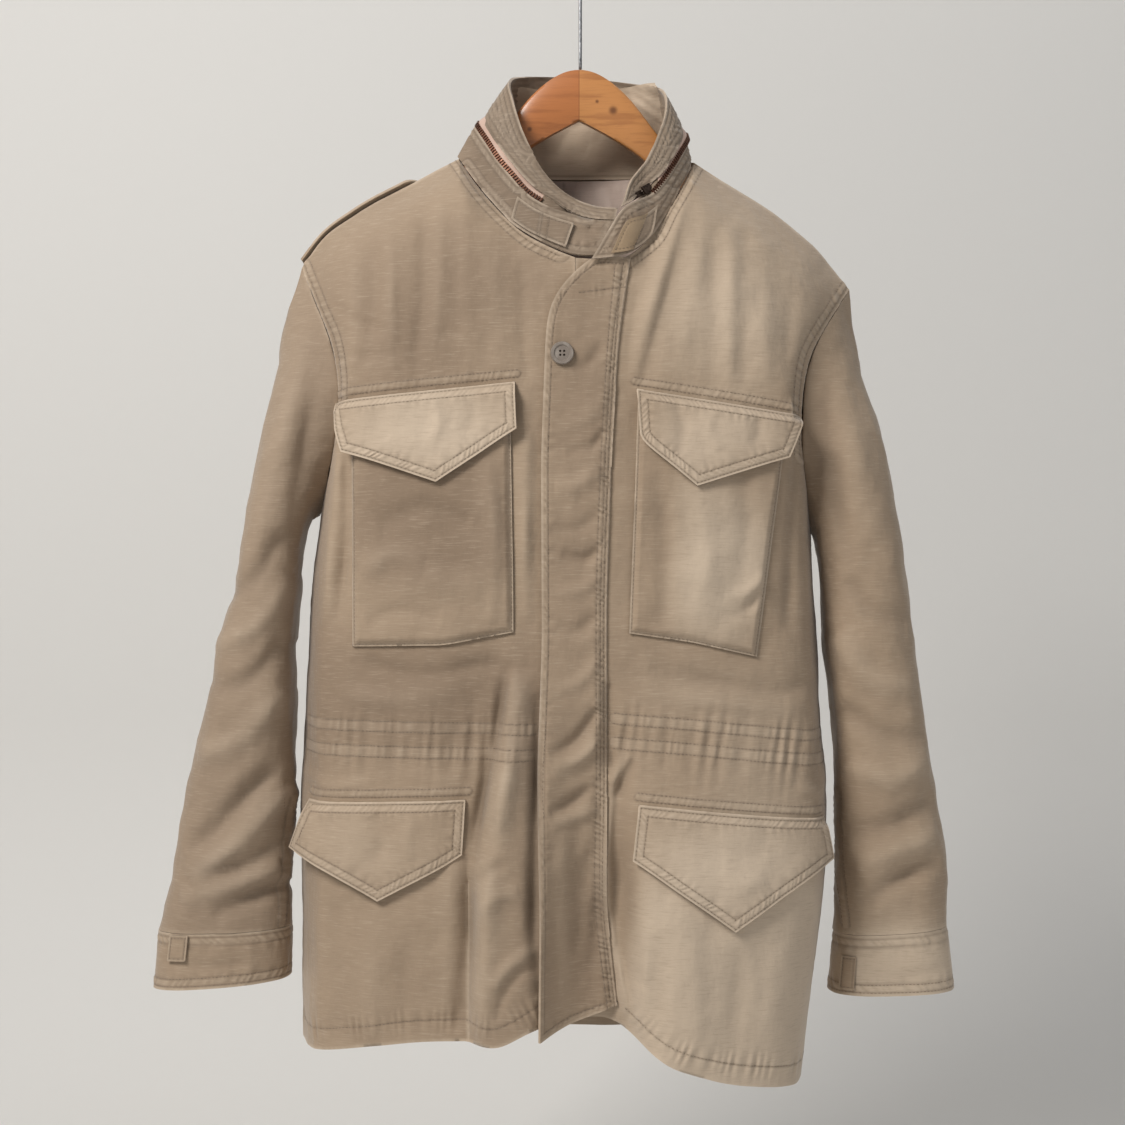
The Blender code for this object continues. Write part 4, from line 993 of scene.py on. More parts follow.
@dataclass
class Thread:
    """Sewing thread of one colour: rows are gathered while the cloth is made and sewn at the end."""

    name: str
    pitch: float = 0.0034
    length: float = 0.0027
    width: float = 0.00055
    height: float = 0.00045
    rows: list[tuple[np.ndarray, np.ndarray]] = field(default_factory=list)

    def add(self, line: np.ndarray, ways: np.ndarray) -> None:
        """Keep a row of sewing, if it is long enough to hold a stitch."""
        if len(line) > 2 and float(np.sum(np.linalg.norm(np.diff(line, axis=0), axis=1))) > self.pitch * 2:
            self.rows.append((line, ways))

    def sew(self, material: bpy.types.Material) -> bpy.types.Object:
        """Make the stitches.

        Args:
            material: The thread's finish.

        Returns:
            The stitches as one piece.
        """
        sizes = {"Pitch": self.pitch, "Length": self.length, "Width": self.width, "Height": self.height}
        piece = place_along(self.name, self.rows, sizes, material, False)
        put_on(piece)
        return piece


# ---------------------------------------------------------------- cloth pieces


def tree_of(*pieces: bpy.types.Object) -> BVHTree:
    """Return a search tree of the faces of some pieces together."""
    points, faces = [], []
    for piece in pieces:
        first = len(points)
        points += [vertex.co for vertex in piece.data.vertices]
        faces += [tuple(first + index for index in face.vertices) for face in piece.data.polygons]
    return BVHTree.FromPolygons(points, faces)


def near_tree(places: Sequence[Sequence[float]]) -> KDTree:
    """Return a search tree of places."""
    tree = KDTree(len(places))
    for index, place in enumerate(places):
        tree.insert(place, index)
    tree.balance()
    return tree


def outer_loops(piece: bpy.types.Object, kind: Field) -> list[tuple[np.ndarray, np.ndarray]]:
    """Find the closed edges of a wall's outer face.

    Args:
        piece: The wall.
        kind: Its form.

    Returns:
        For each loop its points in order and the face's outward ways there.
    """
    work = bmesh.new()
    work.from_mesh(piece.data)
    work.normal_update()
    work.verts.ensure_lookup_table()
    ways = push_ways(points_of(piece.data), kind)
    links: dict[int, list[int]] = {}
    normals: dict[int, Vector] = {}
    for edge in work.edges:
        if len(edge.link_faces) != 2 or edge.calc_face_angle() < SHARP_ANGLE:
            continue
        first, second = edge.verts
        way = Vector(ways[first.index])
        facing = [face.normal.dot(way) for face in edge.link_faces]
        if max(facing) > 0.45 and min(facing) < 0.55 and max(facing) - min(facing) > 0.35:
            links.setdefault(first.index, []).append(second.index)
            links.setdefault(second.index, []).append(first.index)
            outer = edge.link_faces[facing.index(max(facing))]
            normals[first.index] = normals[second.index] = outer.normal.copy()
    places = [vertex.co.copy() for vertex in work.verts]
    work.free()
    loops, used = [], set()
    for begin in sorted(links, key=lambda index: (len(links[index]), index)):
        if begin in used:
            continue
        chain, here = [begin], begin
        used.add(begin)
        while True:
            onward = [index for index in links[here] if index not in used]
            if not onward:
                break
            here = onward[0]
            used.add(here)
            chain.append(here)
        if len(chain) > 8:
            if chain[0] in links[chain[-1]]:
                chain.append(chain[0])
            loops.append((np.array([places[i][:] for i in chain]), np.array([normals[i][:] for i in chain])))
    return loops


def inset_row(loop: np.ndarray, normals: np.ndarray, distance: float) -> list[tuple[np.ndarray, np.ndarray]]:
    """Draw a row of sewing inside a loop.

    Args:
        loop: The loop's points.
        normals: The cloth's outward ways there.
        distance: How far inside the row runs.

    Returns:
        The row, broken where a corner leaves no room, with its outward ways.
    """
    inward = np.cross(normals, unit(np.gradient(loop, axis=0)))
    if np.sum((inward * (loop.mean(0) - loop))) < 0.0:
        inward = -inward
    row = loop + inward * distance
    tree = near_tree(loop)
    clear = np.array([tree.find(point)[2] > distance * 0.93 for point in row])
    pieces, start = [], None
    for index in range(len(row) + 1):
        if index < len(row) and clear[index]:
            start = index if start is None else start
        elif start is not None:
            if index - start > 3:
                pieces.append((row[start:index], normals[start:index]))
            start = None
    return pieces


def rim_place(loops: Sequence[np.ndarray], points: np.ndarray) -> tuple[np.ndarray, np.ndarray]:
    """Measure points from the nearest of some loops.

    Args:
        loops: The loops' points.
        points: The points that are measured.

    Returns:
        Each point's distance from the loops, and the length along them to its nearest place.
    """
    rim = np.vstack(loops)
    lengths = np.concatenate([[0.0], np.cumsum(np.linalg.norm(np.diff(rim, axis=0), axis=1))])
    tree = near_tree(rim)
    found = [tree.find(point) for point in points]
    return np.array([item[2] for item in found]), lengths[[item[1] for item in found]]


@dataclass
class ClothWall:
    """One cut piece of cloth, made from its packed wall.

    Rows are the needle rows inside its free edges; rim is how far the edges are rolled and worn.
    """

    node: str
    lie: Lie
    kind: Field = Field.BODY
    level: int = 3
    splits: int = 1
    rows: tuple[float, ...] = ()
    rim: float = 0.0022
    roll: float = 0.0004
    pucker: float = 0.0
    pitch: float = 0.008
    wear: float = 0.8
    light_patches: tuple[LightPatch, ...] = ()
    piece: bpy.types.Object | None = None
    loops: list[tuple[np.ndarray, np.ndarray]] = field(default_factory=list)

    def build(self, nodes: dict[str, bpy.types.Object]) -> bpy.types.Object:
        """Make the fine wall and lay its folds.

        Args:
            nodes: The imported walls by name.

        Returns:
            The piece.
        """
        self.piece = fine_copy(nodes[self.node], f"{self.node}_cloth", self.level)
        for step in range(self.splits):
            points = points_of(self.piece.data)
            chosen = np.full(len(points), True)
            if step == self.splits - 1:
                chosen = self.lie.close_to_sewing(points)
                if self.rows:
                    loops = [loop for loop, _ in outer_loops(self.piece, self.kind)]
                    chosen |= rim_place(loops, points)[0] < RIM_REACH
            refine(self.piece, push_ways(points, self.kind), chosen)
        self.loops = outer_loops(self.piece, self.kind)
        mesh = self.piece.data
        points = points_of(mesh)
        height, edge, tuck = self.lie.shape(points)
        if self.loops:
            away, arc = rim_place([loop for loop, _ in self.loops], points)
            self.work_edges(away, arc, height, edge, tuck)
        set_points(mesh, points + push_ways(points, self.kind) * height[:, None])
        set_attribute(mesh, "edge", edge)
        set_attribute(mesh, "tuck", tuck)
        # Painted light and shade patches, with a little random tone.
        set_attribute(mesh, "sun", light_patch_levels(points, self.light_patches))
        smooth_faces(mesh)
        return self.piece

    def work_edges(
        self, away: np.ndarray, arc: np.ndarray, height: np.ndarray, edge: np.ndarray, tuck: np.ndarray
    ) -> None:
        """Sink the needle rows, twist the cloth between them, wear the rims and paint shade in the ripples' troughs
        and the needle rows.

        Args:
            away: The points' distance from the rim.
            arc: Their place along it.
            height: The heights that are changed.
            edge: The wear that is changed.
            tuck: The shade that is changed.
        """
        wave = ripple(arc + 0.9 * away, self.pitch, len(self.node))
        edge[:] = np.maximum(edge, self.wear * np.exp(-((away / self.rim) ** 2)) * (0.82 + 0.18 * wave))
        if not self.rows:
            return
        first, last = min(self.rows), max(self.rows)
        half = max(0.0016, (last - first) / 2.0)
        between = np.exp(-(((away - (last - half)) / (half * 0.9)) ** 4))
        beyond = np.exp(-((np.maximum(away - last, 0.0) / BESIDE_ROWS) ** 2)) * (away > last)
        slow = ripple(arc, self.pitch * 1.7, len(self.node) + 1.0)
        height += self.pucker * (wave * between + 0.8 * slow * beyond)
        edge[:] = np.maximum(edge, self.wear * between * (0.25 + 0.24 * np.clip(wave, 0.0, 1.0)))
        # Painted shade in the troughs of the ripples beside the rim.
        shade = min(1.0, self.pucker / FULL_EDGE_PUCKER)
        tuck[:] = np.maximum(tuck, 0.25 * shade * between * np.clip(-wave, 0.0, 1.0))
        tuck[:] = np.maximum(tuck, 0.30 * shade * beyond * np.clip(-slow, 0.0, 1.0))
        # Each needle row sinks and is darkened with painted shade.
        for row in self.rows:
            sunk = np.exp(-(((away - row) / NEEDLE_WIDTH) ** 2))
            height -= self.roll * sunk
            tuck[:] = np.maximum(tuck, NEEDLE_SHADE * sunk)

    def sew(self, thread: Thread) -> None:
        """Lay the rows of sewing inside the free edges on the finished cloth."""
        if not self.rows or self.piece is None:
            return
        tree = tree_of(self.piece)
        for loop, normals in self.loops:
            for distance in self.rows:
                for row, ways in inset_row(loop, normals, distance):
                    lay_row(tree, row, ways, thread)

    def dress(self, material: bpy.types.Material, slot: str = "shell") -> None:
        """Give the piece its finish and let it ride in place of its packed wall."""
        if self.piece is None:
            return
        coat(self.piece.data, material)
        put_on(self.piece, self.node)


def lay_row(
    tree: BVHTree,
    row: np.ndarray,
    ways: np.ndarray,
    thread: Thread,
    above: float = 0.008,
    reach: float = 0.016,
    least: float = 0.2,
) -> None:
    """Drop a row onto cloth and give it to a thread.

    Args:
        tree: The cloth's faces.
        row: The row's points, near the cloth.
        ways: The outward way at each point.
        thread: The thread that sews it.
        above: How far above the row the search starts.
        reach: How far down it goes.
        least: How nearly the cloth has to face outward there.
    """
    line, facing = [], []
    for point, way in zip(row, ways):
        outward = Vector(way).normalized()
        hit, normal, _, _ = tree.ray_cast(Vector(point) + outward * above, -outward, reach)
        if hit is None or normal.dot(outward) < least:
            thread.add(np.array(line), np.array(facing))
            line, facing = [], []
            continue
        line.append(tuple(hit + normal * THREAD_LIFT))
        facing.append(tuple(normal))
    thread.add(np.array(line), np.array(facing))


def sew_seams(piece: bpy.types.Object, lie: Lie, side: Side, thread: Thread) -> None:
    """Lay the needle rows of a lie's seams over the front or the back of a piece.

    Args:
        piece: The cloth.
        lie: Its seams.
        side: Which side of the jacket it is on.
        thread: The thread that sews it.
    """
    tree = tree_of(piece)
    for sewn in lie.seams:
        line = curved(sewn.path, 0.003)
        tangent = unit(np.gradient(line, axis=0))
        across = np.column_stack([-tangent[:, 1], tangent[:, 0]])
        for offset in sewn.rows:
            flat = line + across * offset
            start = np.column_stack([flat[:, 0], np.full(len(flat), side.value * SEAM_REACH), -flat[:, 1]])
            ways = np.tile((0.0, side.value, 0.0), (len(start), 1))
            lay_row(tree, start, ways, thread, 0.0, SEAM_REACH, -2.0)


def seat(piece: bpy.types.Object, under: BVHTree, weight: np.ndarray, gap: float) -> None:
    """Bring part of a wall down onto the cloth behind it, along Y.

    Args:
        piece: The wall.
        under: The cloth behind it.
        weight: How far each point follows, from 0 to 1.
        gap: The space that is left.
    """
    points = points_of(piece.data)
    own = tree_of(piece)
    shift = np.full(len(points), np.nan)
    behind, toward, away = 0.3, Vector((0.0, -1.0, 0.0)), Vector((0.0, 1.0, 0.0))
    for index in np.nonzero(weight > 0.001)[0]:
        x, _, z = points[index]
        inner, _, _, _ = own.ray_cast(Vector((x, behind, z)), toward, 1.0)
        floor, _, _, _ = under.ray_cast(Vector((x, -behind, z)), away, 1.0)
        if inner is not None and floor is not None:
            shift[index] = floor.y - gap - inner.y
    known = np.nonzero(~np.isnan(shift))[0]
    if not len(known):
        return
    tree = near_tree(points[known])
    for index in np.nonzero(weight > 0.001)[0]:
        if np.isnan(shift[index]):
            shift[index] = shift[known[tree.find(points[index])[1]]]
    points[:, 1] += np.nan_to_num(shift) * weight
    set_points(piece.data, points)


# ---------------------------------------------------------------- how this jacket hangs

FRONT_LIE = Lie(
    folds=(
        fold(1.3, 7, -170, 275, -166, 340, -165, 425, lean=0.3),
        fold(-1, 7, -184, 290, -182, 350, -186, 420),
        fold(-1.1, 6, -140, 262, -139, 340, -144, 420),
        fold(1, 6, -126, 255, -124, 330, -128, 415),
        fold(-1, 8, -110, 262, -109, 345, -106, 420, lean=0.3),
        fold(0.8, 10, -80, 285, -74, 345, -70, 420),
        fold(-1, 6, -48, 318, -50, 380, -46, 430),
        fold(1.1, 8, -205, 300, -200, 370, -206, 440),
        fold(-1, 5, -222, 352, -198, 372, -168, 385),
        fold(-0.8, 6, -216, 400, -190, 405, -160, 400),
        fold(-1.7, 7, 103, 246, 87, 311, 70, 374, 53, 436, lean=-0.3),
        fold(1.5, 7, 92, 262, 74, 322, 58, 380, 45, 430),
        fold(1.3, 8, 114, 262, 104, 330, 90, 400, 84, 432),
        fold(-1.1, 7, 121, 280, 117, 374, 113, 440),
        fold(1, 6, 136, 280, 132, 365, 130, 440),
        fold(-1, 6, 149, 284, 145, 365, 144, 440),
        fold(1.2, 8, 170, 292, 164, 373, 160, 440),
        fold(-0.8, 7, 190, 330, 185, 390, 184, 450),
        fold(-1, 6, 52, 340, 46, 380, 42, 425),
        fold(2.2, 6, -45, 470, -47, 560, -46, 640),
        fold(-3, 5, -206, 470, -207, 560, -213, 640),
        fold(2.4, 6, -214, 460, -220, 560, -225, 640),
        fold(-3, 6, 192, 470, 188, 560, 182, 650),
        fold(2.2, 7, 204, 480, 206, 560, 203, 640),
        fold(-2, 7, -200, 672, -140, 684, -80, 676, -45, 690),
        fold(1.6, 9, -216, 700, -160, 706, -100, 700),
        fold(-2.2, 8, 60, 678, 110, 690, 170, 700, 212, 690),
        fold(1.6, 8, 50, 700, 120, 708, 190, 716),
        fold(-5, 5, -64, 680, -70, 720, -79, 765, -90, 825, -92, 850, lean=0.2, light_and_shade=2.6),
        fold(-4, 7, -92, 838, -94, 867, -94, 906, -99, 955, -103, 995, lean=0.3, light_and_shade=1.8),
        fold(5.8, 11, -53, 680, -58, 740, -67, 792, -77, 840, light_and_shade=1.8),
        fold(5, 12, -78, 830, -81, 869, -82, 904, -86, 951, -90, 996, light_and_shade=1.4),
        fold(-5, 6, -37, 700, -37, 760, -39, 830, -40, 900, -36, 960, light_and_shade=3.0),
        fold(3.2, 6, -33, 920, -45, 921, -58, 929, -68, 940, -75, 953, light_and_shade=1.5),
        fold(-1.8, 4, -34, 934, -50, 937, -62, 949, -68, 964, -71, 978, light_and_shade=1.2),
        fold(-2.6, 5, -96, 868, -82, 853, -64, 845, light_and_shade=1.8),
        fold(2, 7, -90, 885, -70, 872, -52, 868, light_and_shade=1.2),
        fold(2.4, 12, -118, 770, -110, 860, -116, 980),
        fold(-1.7, 10, -150, 900, -152, 950, -150, 1000),
        fold(1.7, 12, -176, 885, -182, 940, -180, 1005),
        fold(-1.7, 10, -215, 860, -214, 930, -210, 1010),
        fold(-2, 8, -240, 700, -238, 820, -242, 960),
        fold(5.2, 6, 29, 770, 24, 834, 23.5, 877, 28, 906, 36, 951, 43, 985, lean=0.4, light_and_shade=2.6),
        fold(-3, 5, 24, 690, 24, 730, 26, 765, light_and_shade=2.6),
        fold(-3, 5, 31, 792, 38, 772, 47, 757, light_and_shade=2.2),
        fold(2.6, 5, 28, 779, 34, 766, 42, 752, light_and_shade=1.6),
        fold(-2.6, 9, 42, 800, 40, 850, 44, 900, 52, 950, light_and_shade=1.4),
        fold(-1.8, 9, 62, 905, 66, 950, 66, 1005),
        fold(1.9, 11, 98, 910, 100, 960, 96, 1020),
        fold(-1.7, 10, 136, 915, 134, 965, 128, 1025),
        fold(1.7, 12, 170, 890, 166, 950, 158, 1030),
        fold(-1.4, 10, 202, 860, 196, 940, 186, 1035),
        fold(1.8, 5, 220, 770, 216, 790, 190, 782),
        fold(1.4, 5, -252, 775, -220, 783, -180, 779),
    ),
    seams=(
        seam((3.5, 9.5), 0.4, 0.9, 11, 5.8, -110.4, 215.3, -91.5, 248, -71.1, 273.1, -43.9, 299, -17.4, 313),
        seam(
            (-3.5, -9.5), 0.4, 1, 12, 6, 105.8, 219, 90.9, 249, 76.5, 275.8, 66.9, 295.9, 53.3, 308.7, 35.4,
            322.1,
        ),
        seam(
            (-3.5, -9.8), 0.5, 1, 12, 6.2, -254.8, 315.6, -246, 335.3, -235.5, 358.9, -221, 391.6, -215, 430,
            -218, 470,
        ),
        seam(
            (3.5, 9.8), 0.5, 1, 12, 6.2, 248.4, 335.8, 235.1, 355.3, 214.2, 386.2, 203.5, 409.8, 199, 450,
            200.5, 490,
        ),
        seam((-4.5, 4.5), 0.2, 0.5, 12, 9.2, -246, 729, -157, 730, -40, 731, wear=0.16),
        seam((-4.8, 4.8), 0.2, 0.5, 12, 8.6, -247, 751, -157, 752, -40, 753, wear=0.16),
        seam((), 0, 1.3, 26, 14.5, -247, 744, -157, 746, -40, 746),
        seam((-4.5, 4.5), 0.2, 0.5, 12, 9.2, 30, 722, 104, 728, 222, 741, wear=0.16),
        seam((-4.8, 4.8), 0.2, 0.5, 12, 8.6, 30, 743, 104, 749, 223, 762, wear=0.16),
        seam((), 0, 1.4, 26, 15, 30, 738, 104, 744, 223, 757),
        seam((-3.4, 2.8), 0.8, 0.3, 6, 6, -215, 437, -140, 429.5, -55, 421.5, wear=0.16),
        seam((-2.8, 3.4), 0.8, 0.3, 6, 6, 48, 427.5, 120, 438.5, 192, 450, wear=0.16),
        seam((-3.4, 2.8), 0.8, 0.3, 6, 6, -240, 791, -160, 788, -97, 785.5, wear=0.16),
        seam((-2.8, 3.4), 0.8, 0.3, 6, 6, 50, 788, 130, 796, 214, 804.5, wear=0.16),
        seam((0,), 0, 0.9, 10, 8.5, -254, 1003, -200, 994, -140, 985, -96, 984, -70, 984, -36, 966),
        seam((0,), 0, 0.9, 10, 8.5, 40, 974, 50, 981, 80, 1000, 125, 1014, 170, 1022, 205, 1027),
    ),
)

BACK_LIE = Lie(
    folds=(
        fold(-4, 12, -175, 290, -165, 420, -150, 600, lean=0.4),
        fold(3.4, 14, -150, 300, -142, 440, -128, 620),
        fold(-4, 12, 172, 300, 160, 430, 140, 620, lean=-0.4),
        fold(3.4, 14, 148, 310, 138, 440, 120, 640),
        fold(-2.4, 12, -60, 240, -40, 330, -30, 440),
        fold(-2.4, 12, 62, 240, 40, 330, 34, 440),
        fold(2, 10, -20, 250, 0, 300, 24, 262),
        fold(-2.4, 10, -200, 640, -100, 668, 0, 655, 110, 672, 190, 650),
        fold(1.8, 9, -180, 690, -60, 700, 60, 690, 170, 702),
        fold(3.8, 15, -190, 790, -176, 900, -180, 1000),
        fold(-4, 14, -120, 790, -110, 900, -116, 1010),
        fold(3.8, 14, -50, 790, -46, 900, -50, 1015),
        fold(-3.8, 14, 20, 800, 26, 900, 20, 1015),
        fold(3.8, 14, 95, 790, 98, 900, 92, 1015),
        fold(-3.6, 14, 160, 800, 156, 900, 150, 1010),
        fold(2.2, 10, -215, 420, -190, 470, -150, 520),
        fold(2.2, 10, 196, 430, 170, 480, 135, 530),
    ),
    seams=(
        seam((-3.5, -9.8), 0.5, 1.2, 14, 9, -235.5, 358.9, -221, 391.6, -215, 430, -218, 470),
        seam((3.5, 9.8), 0.5, 1.2, 14, 9, 235.1, 355.3, 214.2, 386.2, 203.5, 409.8, 199, 450, 200.5, 490),
        seam((0,), 0, 1.3, 11, 13, -246, 729, -120, 733, 0, 734, 120, 733, 220, 740),
        seam((0,), 0, 1.3, 11, 12, -248, 756, -120, 760, 0, 761, 120, 760, 222, 767),
        seam((0,), 0, 1.2, 12, 11, -246, 1002, -120, 1006, 0, 1008, 120, 1010, 200, 1022),
        seam((-3, 3), 0.5, 0.8, 10, 12, -225, 372, -120, 380, 0, 382, 110, 382, 214, 378),
    ),
)

STORM_LIE = Lie(
    folds=(
        *FRONT_LIE.folds,
        fold(-1.6, 6, 20, 395, 8, 412, -6, 420),
        fold(-2.2, 5, 24, 470, 10, 486, -12, 490),
        fold(1.8, 7, 18, 505, -4, 520, -22, 522),
        fold(-2.4, 5, 20, 572, 4, 584, -16, 578),
        fold(-1.6, 6, 16, 630, -2, 646, -20, 640),
        fold(-3.2, 5, 16, 713, -4, 740, -26, 752, light_and_shade=1.8),
        fold(2.6, 7, 16, 736, 0, 756, -24, 768, light_and_shade=1.4),
        fold(-2.6, 5, 10, 780, -6, 792, -26, 802, light_and_shade=1.8),
        fold(2.2, 6, 16, 800, -4, 806, -26, 813, light_and_shade=1.2),
        fold(-3.6, 7, 16, 770, 18, 850, 15, 905, 8, 945, light_and_shade=2.2),
        fold(1.6, 6, 18, 668, 0, 690, -28, 700),
        fold(1.6, 6, 22, 735, 6, 752, -22, 760),
        fold(1.2, 7, 24, 440, 6, 462, -20, 470),
        fold(-1.4, 6, 20, 540, 2, 556, -26, 560),
        fold(1.2, 6, 16, 600, -4, 612, -28, 610),
        fold(-2.2, 8, 14, 830, 4, 860, -4, 930),
        fold(2, 8, -12, 800, -14, 880, -12, 980),
    ),
    seams=(
        seam(
            (3, 9.5), 0.5, 1.2, 12, 5.8, 40, 330, 34, 393.5, 27.9, 492.8, 23.6, 619, 23.6, 776, 22.7, 880, 33,
            972,
        ),
        seam((0,), 0, 0.3, 5, 8, 0, 350, 20, 347.5, 39, 345),
    ),
    crumple=0.0008,
)

CHEST_LIE = Lie(
    folds=(
        fold(2, 9, -192, 596, -166, 580, -134, 584, light_and_shade=1.2),
        fold(-2.2, 9, -176, 556, -137, 538, -95, 552, light_and_shade=1.3),
        fold(-1.6, 6, -186, 640, -160, 628, -120, 634, light_and_shade=1.2),
        fold(2, 7, -78, 500, -74, 570, -76, 640),
        fold(-2.2, 9, 68, 510, 74, 580, 70, 645, light_and_shade=1.3),
        fold(2, 12, 104, 515, 110, 585, 100, 650, light_and_shade=1.2),
        fold(-1.8, 9, 140, 500, 146, 560, 130, 625, light_and_shade=1.3),
        fold(1.8, 5, 160, 595, 148, 612, 126, 616, light_and_shade=1.2),
        fold(-1.6, 5, 158, 612, 144, 628, 120, 632, light_and_shade=1.2),
        fold(-1, 14, -185, 540, -130, 560, -70, 552),
        fold(1.2, 14, -170, 610, -130, 600, -80, 615),
        fold(1, 10, -80, 480, -82, 560, -86, 640),
        fold(-1, 14, 70, 540, 110, 560, 160, 550),
        fold(1.2, 14, 60, 610, 100, 600, 150, 622),
        fold(1, 8, -150, 470, -146, 490, -130, 505),
        fold(1, 8, 150, 478, 130, 494, 110, 508),
    ),
    crumple=0.0007,
    soft=0.0012,
)

SLEEVE_LIE = Lie(
    folds=(
        fold(-3.5, 9, -262, 560, -290, 600, -325, 620, light_and_shade=1.5),
        fold(3, 9, -256, 600, -286, 640, -330, 664, light_and_shade=1.5),
        fold(-3.8, 9, -262, 655, -292, 690, -335, 700, light_and_shade=1.5),
        fold(3.5, 10, -266, 700, -300, 742, -345, 760, light_and_shade=1.5),
        fold(-5.4, 8, -272, 772, -299, 799, -327, 826, -355, 846, lean=0.3, light_and_shade=1.5),
        fold(4.6, 9, -262, 792, -290, 820, -320, 850, -350, 872, light_and_shade=1.5),
        fold(-3.2, 7, -263, 836, -300, 858, -350, 866, light_and_shade=1.5),
        fold(-4.6, 7, -263, 878, -292, 887, -330, 903, light_and_shade=1.5),
        fold(3.5, 8, -268, 862, -310, 876, -360, 890, light_and_shade=1.5),
        fold(2.2, 12, -246, 380, -262, 460, -284, 560),
        fold(-2.2, 8, -236, 420, -248, 500, -262, 580),
        fold(2.2, 12, 236, 400, 246, 480, 262, 570),
        fold(-2, 8, 222, 440, 230, 520, 244, 600),
        fold(-3.2, 9, 238, 600, 262, 630, 296, 640, light_and_shade=1.5),
        fold(3.2, 10, 232, 650, 260, 690, 300, 700, light_and_shade=1.5),
        fold(-3.5, 9, 236, 715, 270, 740, 312, 745, light_and_shade=1.5),
        fold(3.5, 10, 240, 770, 276, 780, 316, 765, light_and_shade=1.5),
        fold(-4.1, 8, 240, 828, 276, 822, 322, 802, light_and_shade=1.5),
        fold(3.5, 9, 250, 862, 283, 846, 326, 830, light_and_shade=1.5),
        fold(-4.6, 7, 253, 892, 283, 874, 326, 857, light_and_shade=1.5),
    ),
    seams=(
        seam((-3, 3), 0.6, 0.4, 6, 7, 235, 795, 237, 859, 242, 915, wear=0.2),
        seam((-3, 3), 0.6, 0.4, 6, 7, -263, 800, -266, 860, -270, 915, wear=0.2),
    ),
    crumple=0.0010,
    soft=0.0026,
)

FLAP_LIE = Lie(
    folds=(
        fold(1.2, 6, -135, 440, -122, 462, -132, 490),
        fold(-1, 6, -100, 438, -92, 455, -98, 475),
        fold(-1, 7, -170, 445, -176, 462, -168, 480),
        fold(-1.2, 6, 80, 445, 90, 465, 86, 492),
        fold(1.2, 7, 118, 450, 112, 470, 120, 490),
        fold(-1, 6, 150, 458, 156, 472, 150, 488),
        fold(-1.4, 7, -180, 806, -172, 828, -182, 852),
        fold(1, 7, -142, 804, -150, 824, -146, 845),
        fold(-1.2, 9, 95, 812, 120, 832, 160, 836),
        fold(1.2, 8, 120, 850, 136, 862, 160, 858),
    ),
    crumple=0.0006,
    soft=0.0012,
)
CUFF_LIE = Lie(
    folds=(
        fold(-1, 6, -380, 945, -340, 950, -290, 946),
        fold(-1, 6, 250, 956, 290, 960, 335, 952),
        fold(1, 5, -300, 930, -296, 950, -302, 965),
    ),
    crumple=0.0007,
    soft=0.0010,
)
LINING_LIE = Lie(
    folds=(
        fold(1.6, 6, 20, 228, 30, 255, 12, 290),
        fold(-1.4, 6, -20, 230, -30, 262, -22, 295),
        fold(-1.4, 5, 40, 232, 46, 250, 40, 270),
    ),
    seams=(seam((0,), 0.4, 0.6, 7, 9, -14, 227, -12, 260, -10, 303),),
    crumple=0.0006,
    soft=0.0012,
)
STIFF_LIE = Lie(crumple=0.0002, soft=0.0002)
STRAP_LIE = Lie(
    seams=(
        seam((-1.2, 1.2), 0.2, 0.3, 4, 5, -34, 278, -37.5, 303.5, wear=0.1),
        seam((0,), 0, 0.3, 4, 5, -27, 282, -30, 306, wear=0.1),
        seam((0,), 0, 0.3, 4, 5, 56, 290, 42, 323, sink=0.5, wear=0.1),
    ),
    crumple=0.0003,
    soft=0.0003,
)

# Painted light and shade: soft patches of paler and darker cloth that stand in for the light across the jacket, in
# millimetres.
FRONT_LIGHT_PATCHES = (
    sun(140, 950, 105, 125, 0.98),
    sun(130, 350, 90, 90, 0.34),
    sun(-130, 360, 120, 110, -0.38),
    sun(-245, 620, 26, 300, -0.30),
    sun(222, 620, 22, 250, -0.25),
    sun(-130, 700, 120, 60, -0.52),
    sun(110, 715, 90, 50, 0.10),
    sun(-48, 880, 14, 160, -0.34),
    sun(36, 900, 12, 140, -0.30),
)
POCKET_LIGHT_PATCHES = (
    sun(-130, 540, 85, 75, -0.78),
    sun(-150, 630, 60, 40, 0.18),
    sun(120, 590, 55, 70, 0.56),
    sun(60, 560, 20, 90, -0.25),
)
FLAP_LIGHT_PATCHES = (
    sun(-130, 470, 90, 50, 0.42),
    sun(120, 480, 80, 50, 0.28),
    sun(-170, 840, 80, 50, 0.16),
    sun(130, 850, 90, 60, 0.48),
)
STORM_LIGHT_PATCHES = (
    sun(-2, 400, 50, 110, -0.38),
    sun(-2, 620, 50, 120, -0.24),
    sun(10, 930, 24, 80, -0.46),
)
SLEEVE_LIGHT_PATCHES = (
    sun(-240, 520, 22, 130, -0.30),
    sun(215, 540, 20, 130, -0.30),
    sun(-320, 950, 70, 30, -0.10),
    sun(290, 955, 60, 40, 0.74),
    sun(300, 500, 30, 120, 0.10),
)
COLLAR_LIGHT_PATCHES = (
    sun(-58, 240, 48, 80, -0.80),
    sun(60, 240, 30, 80, 0.08),
    sun(0, 180, 60, 60, -0.10),
)
BACK_LIGHT_PATCHES = (
    sun(0, 320, 140, 70, 0.25),
    sun(-235, 620, 26, 300, -0.25),
    sun(215, 620, 22, 300, -0.25),
    sun(20, 940, 120, 80, 0.14),
)


# ---------------------------------------------------------------- sub-assemblies


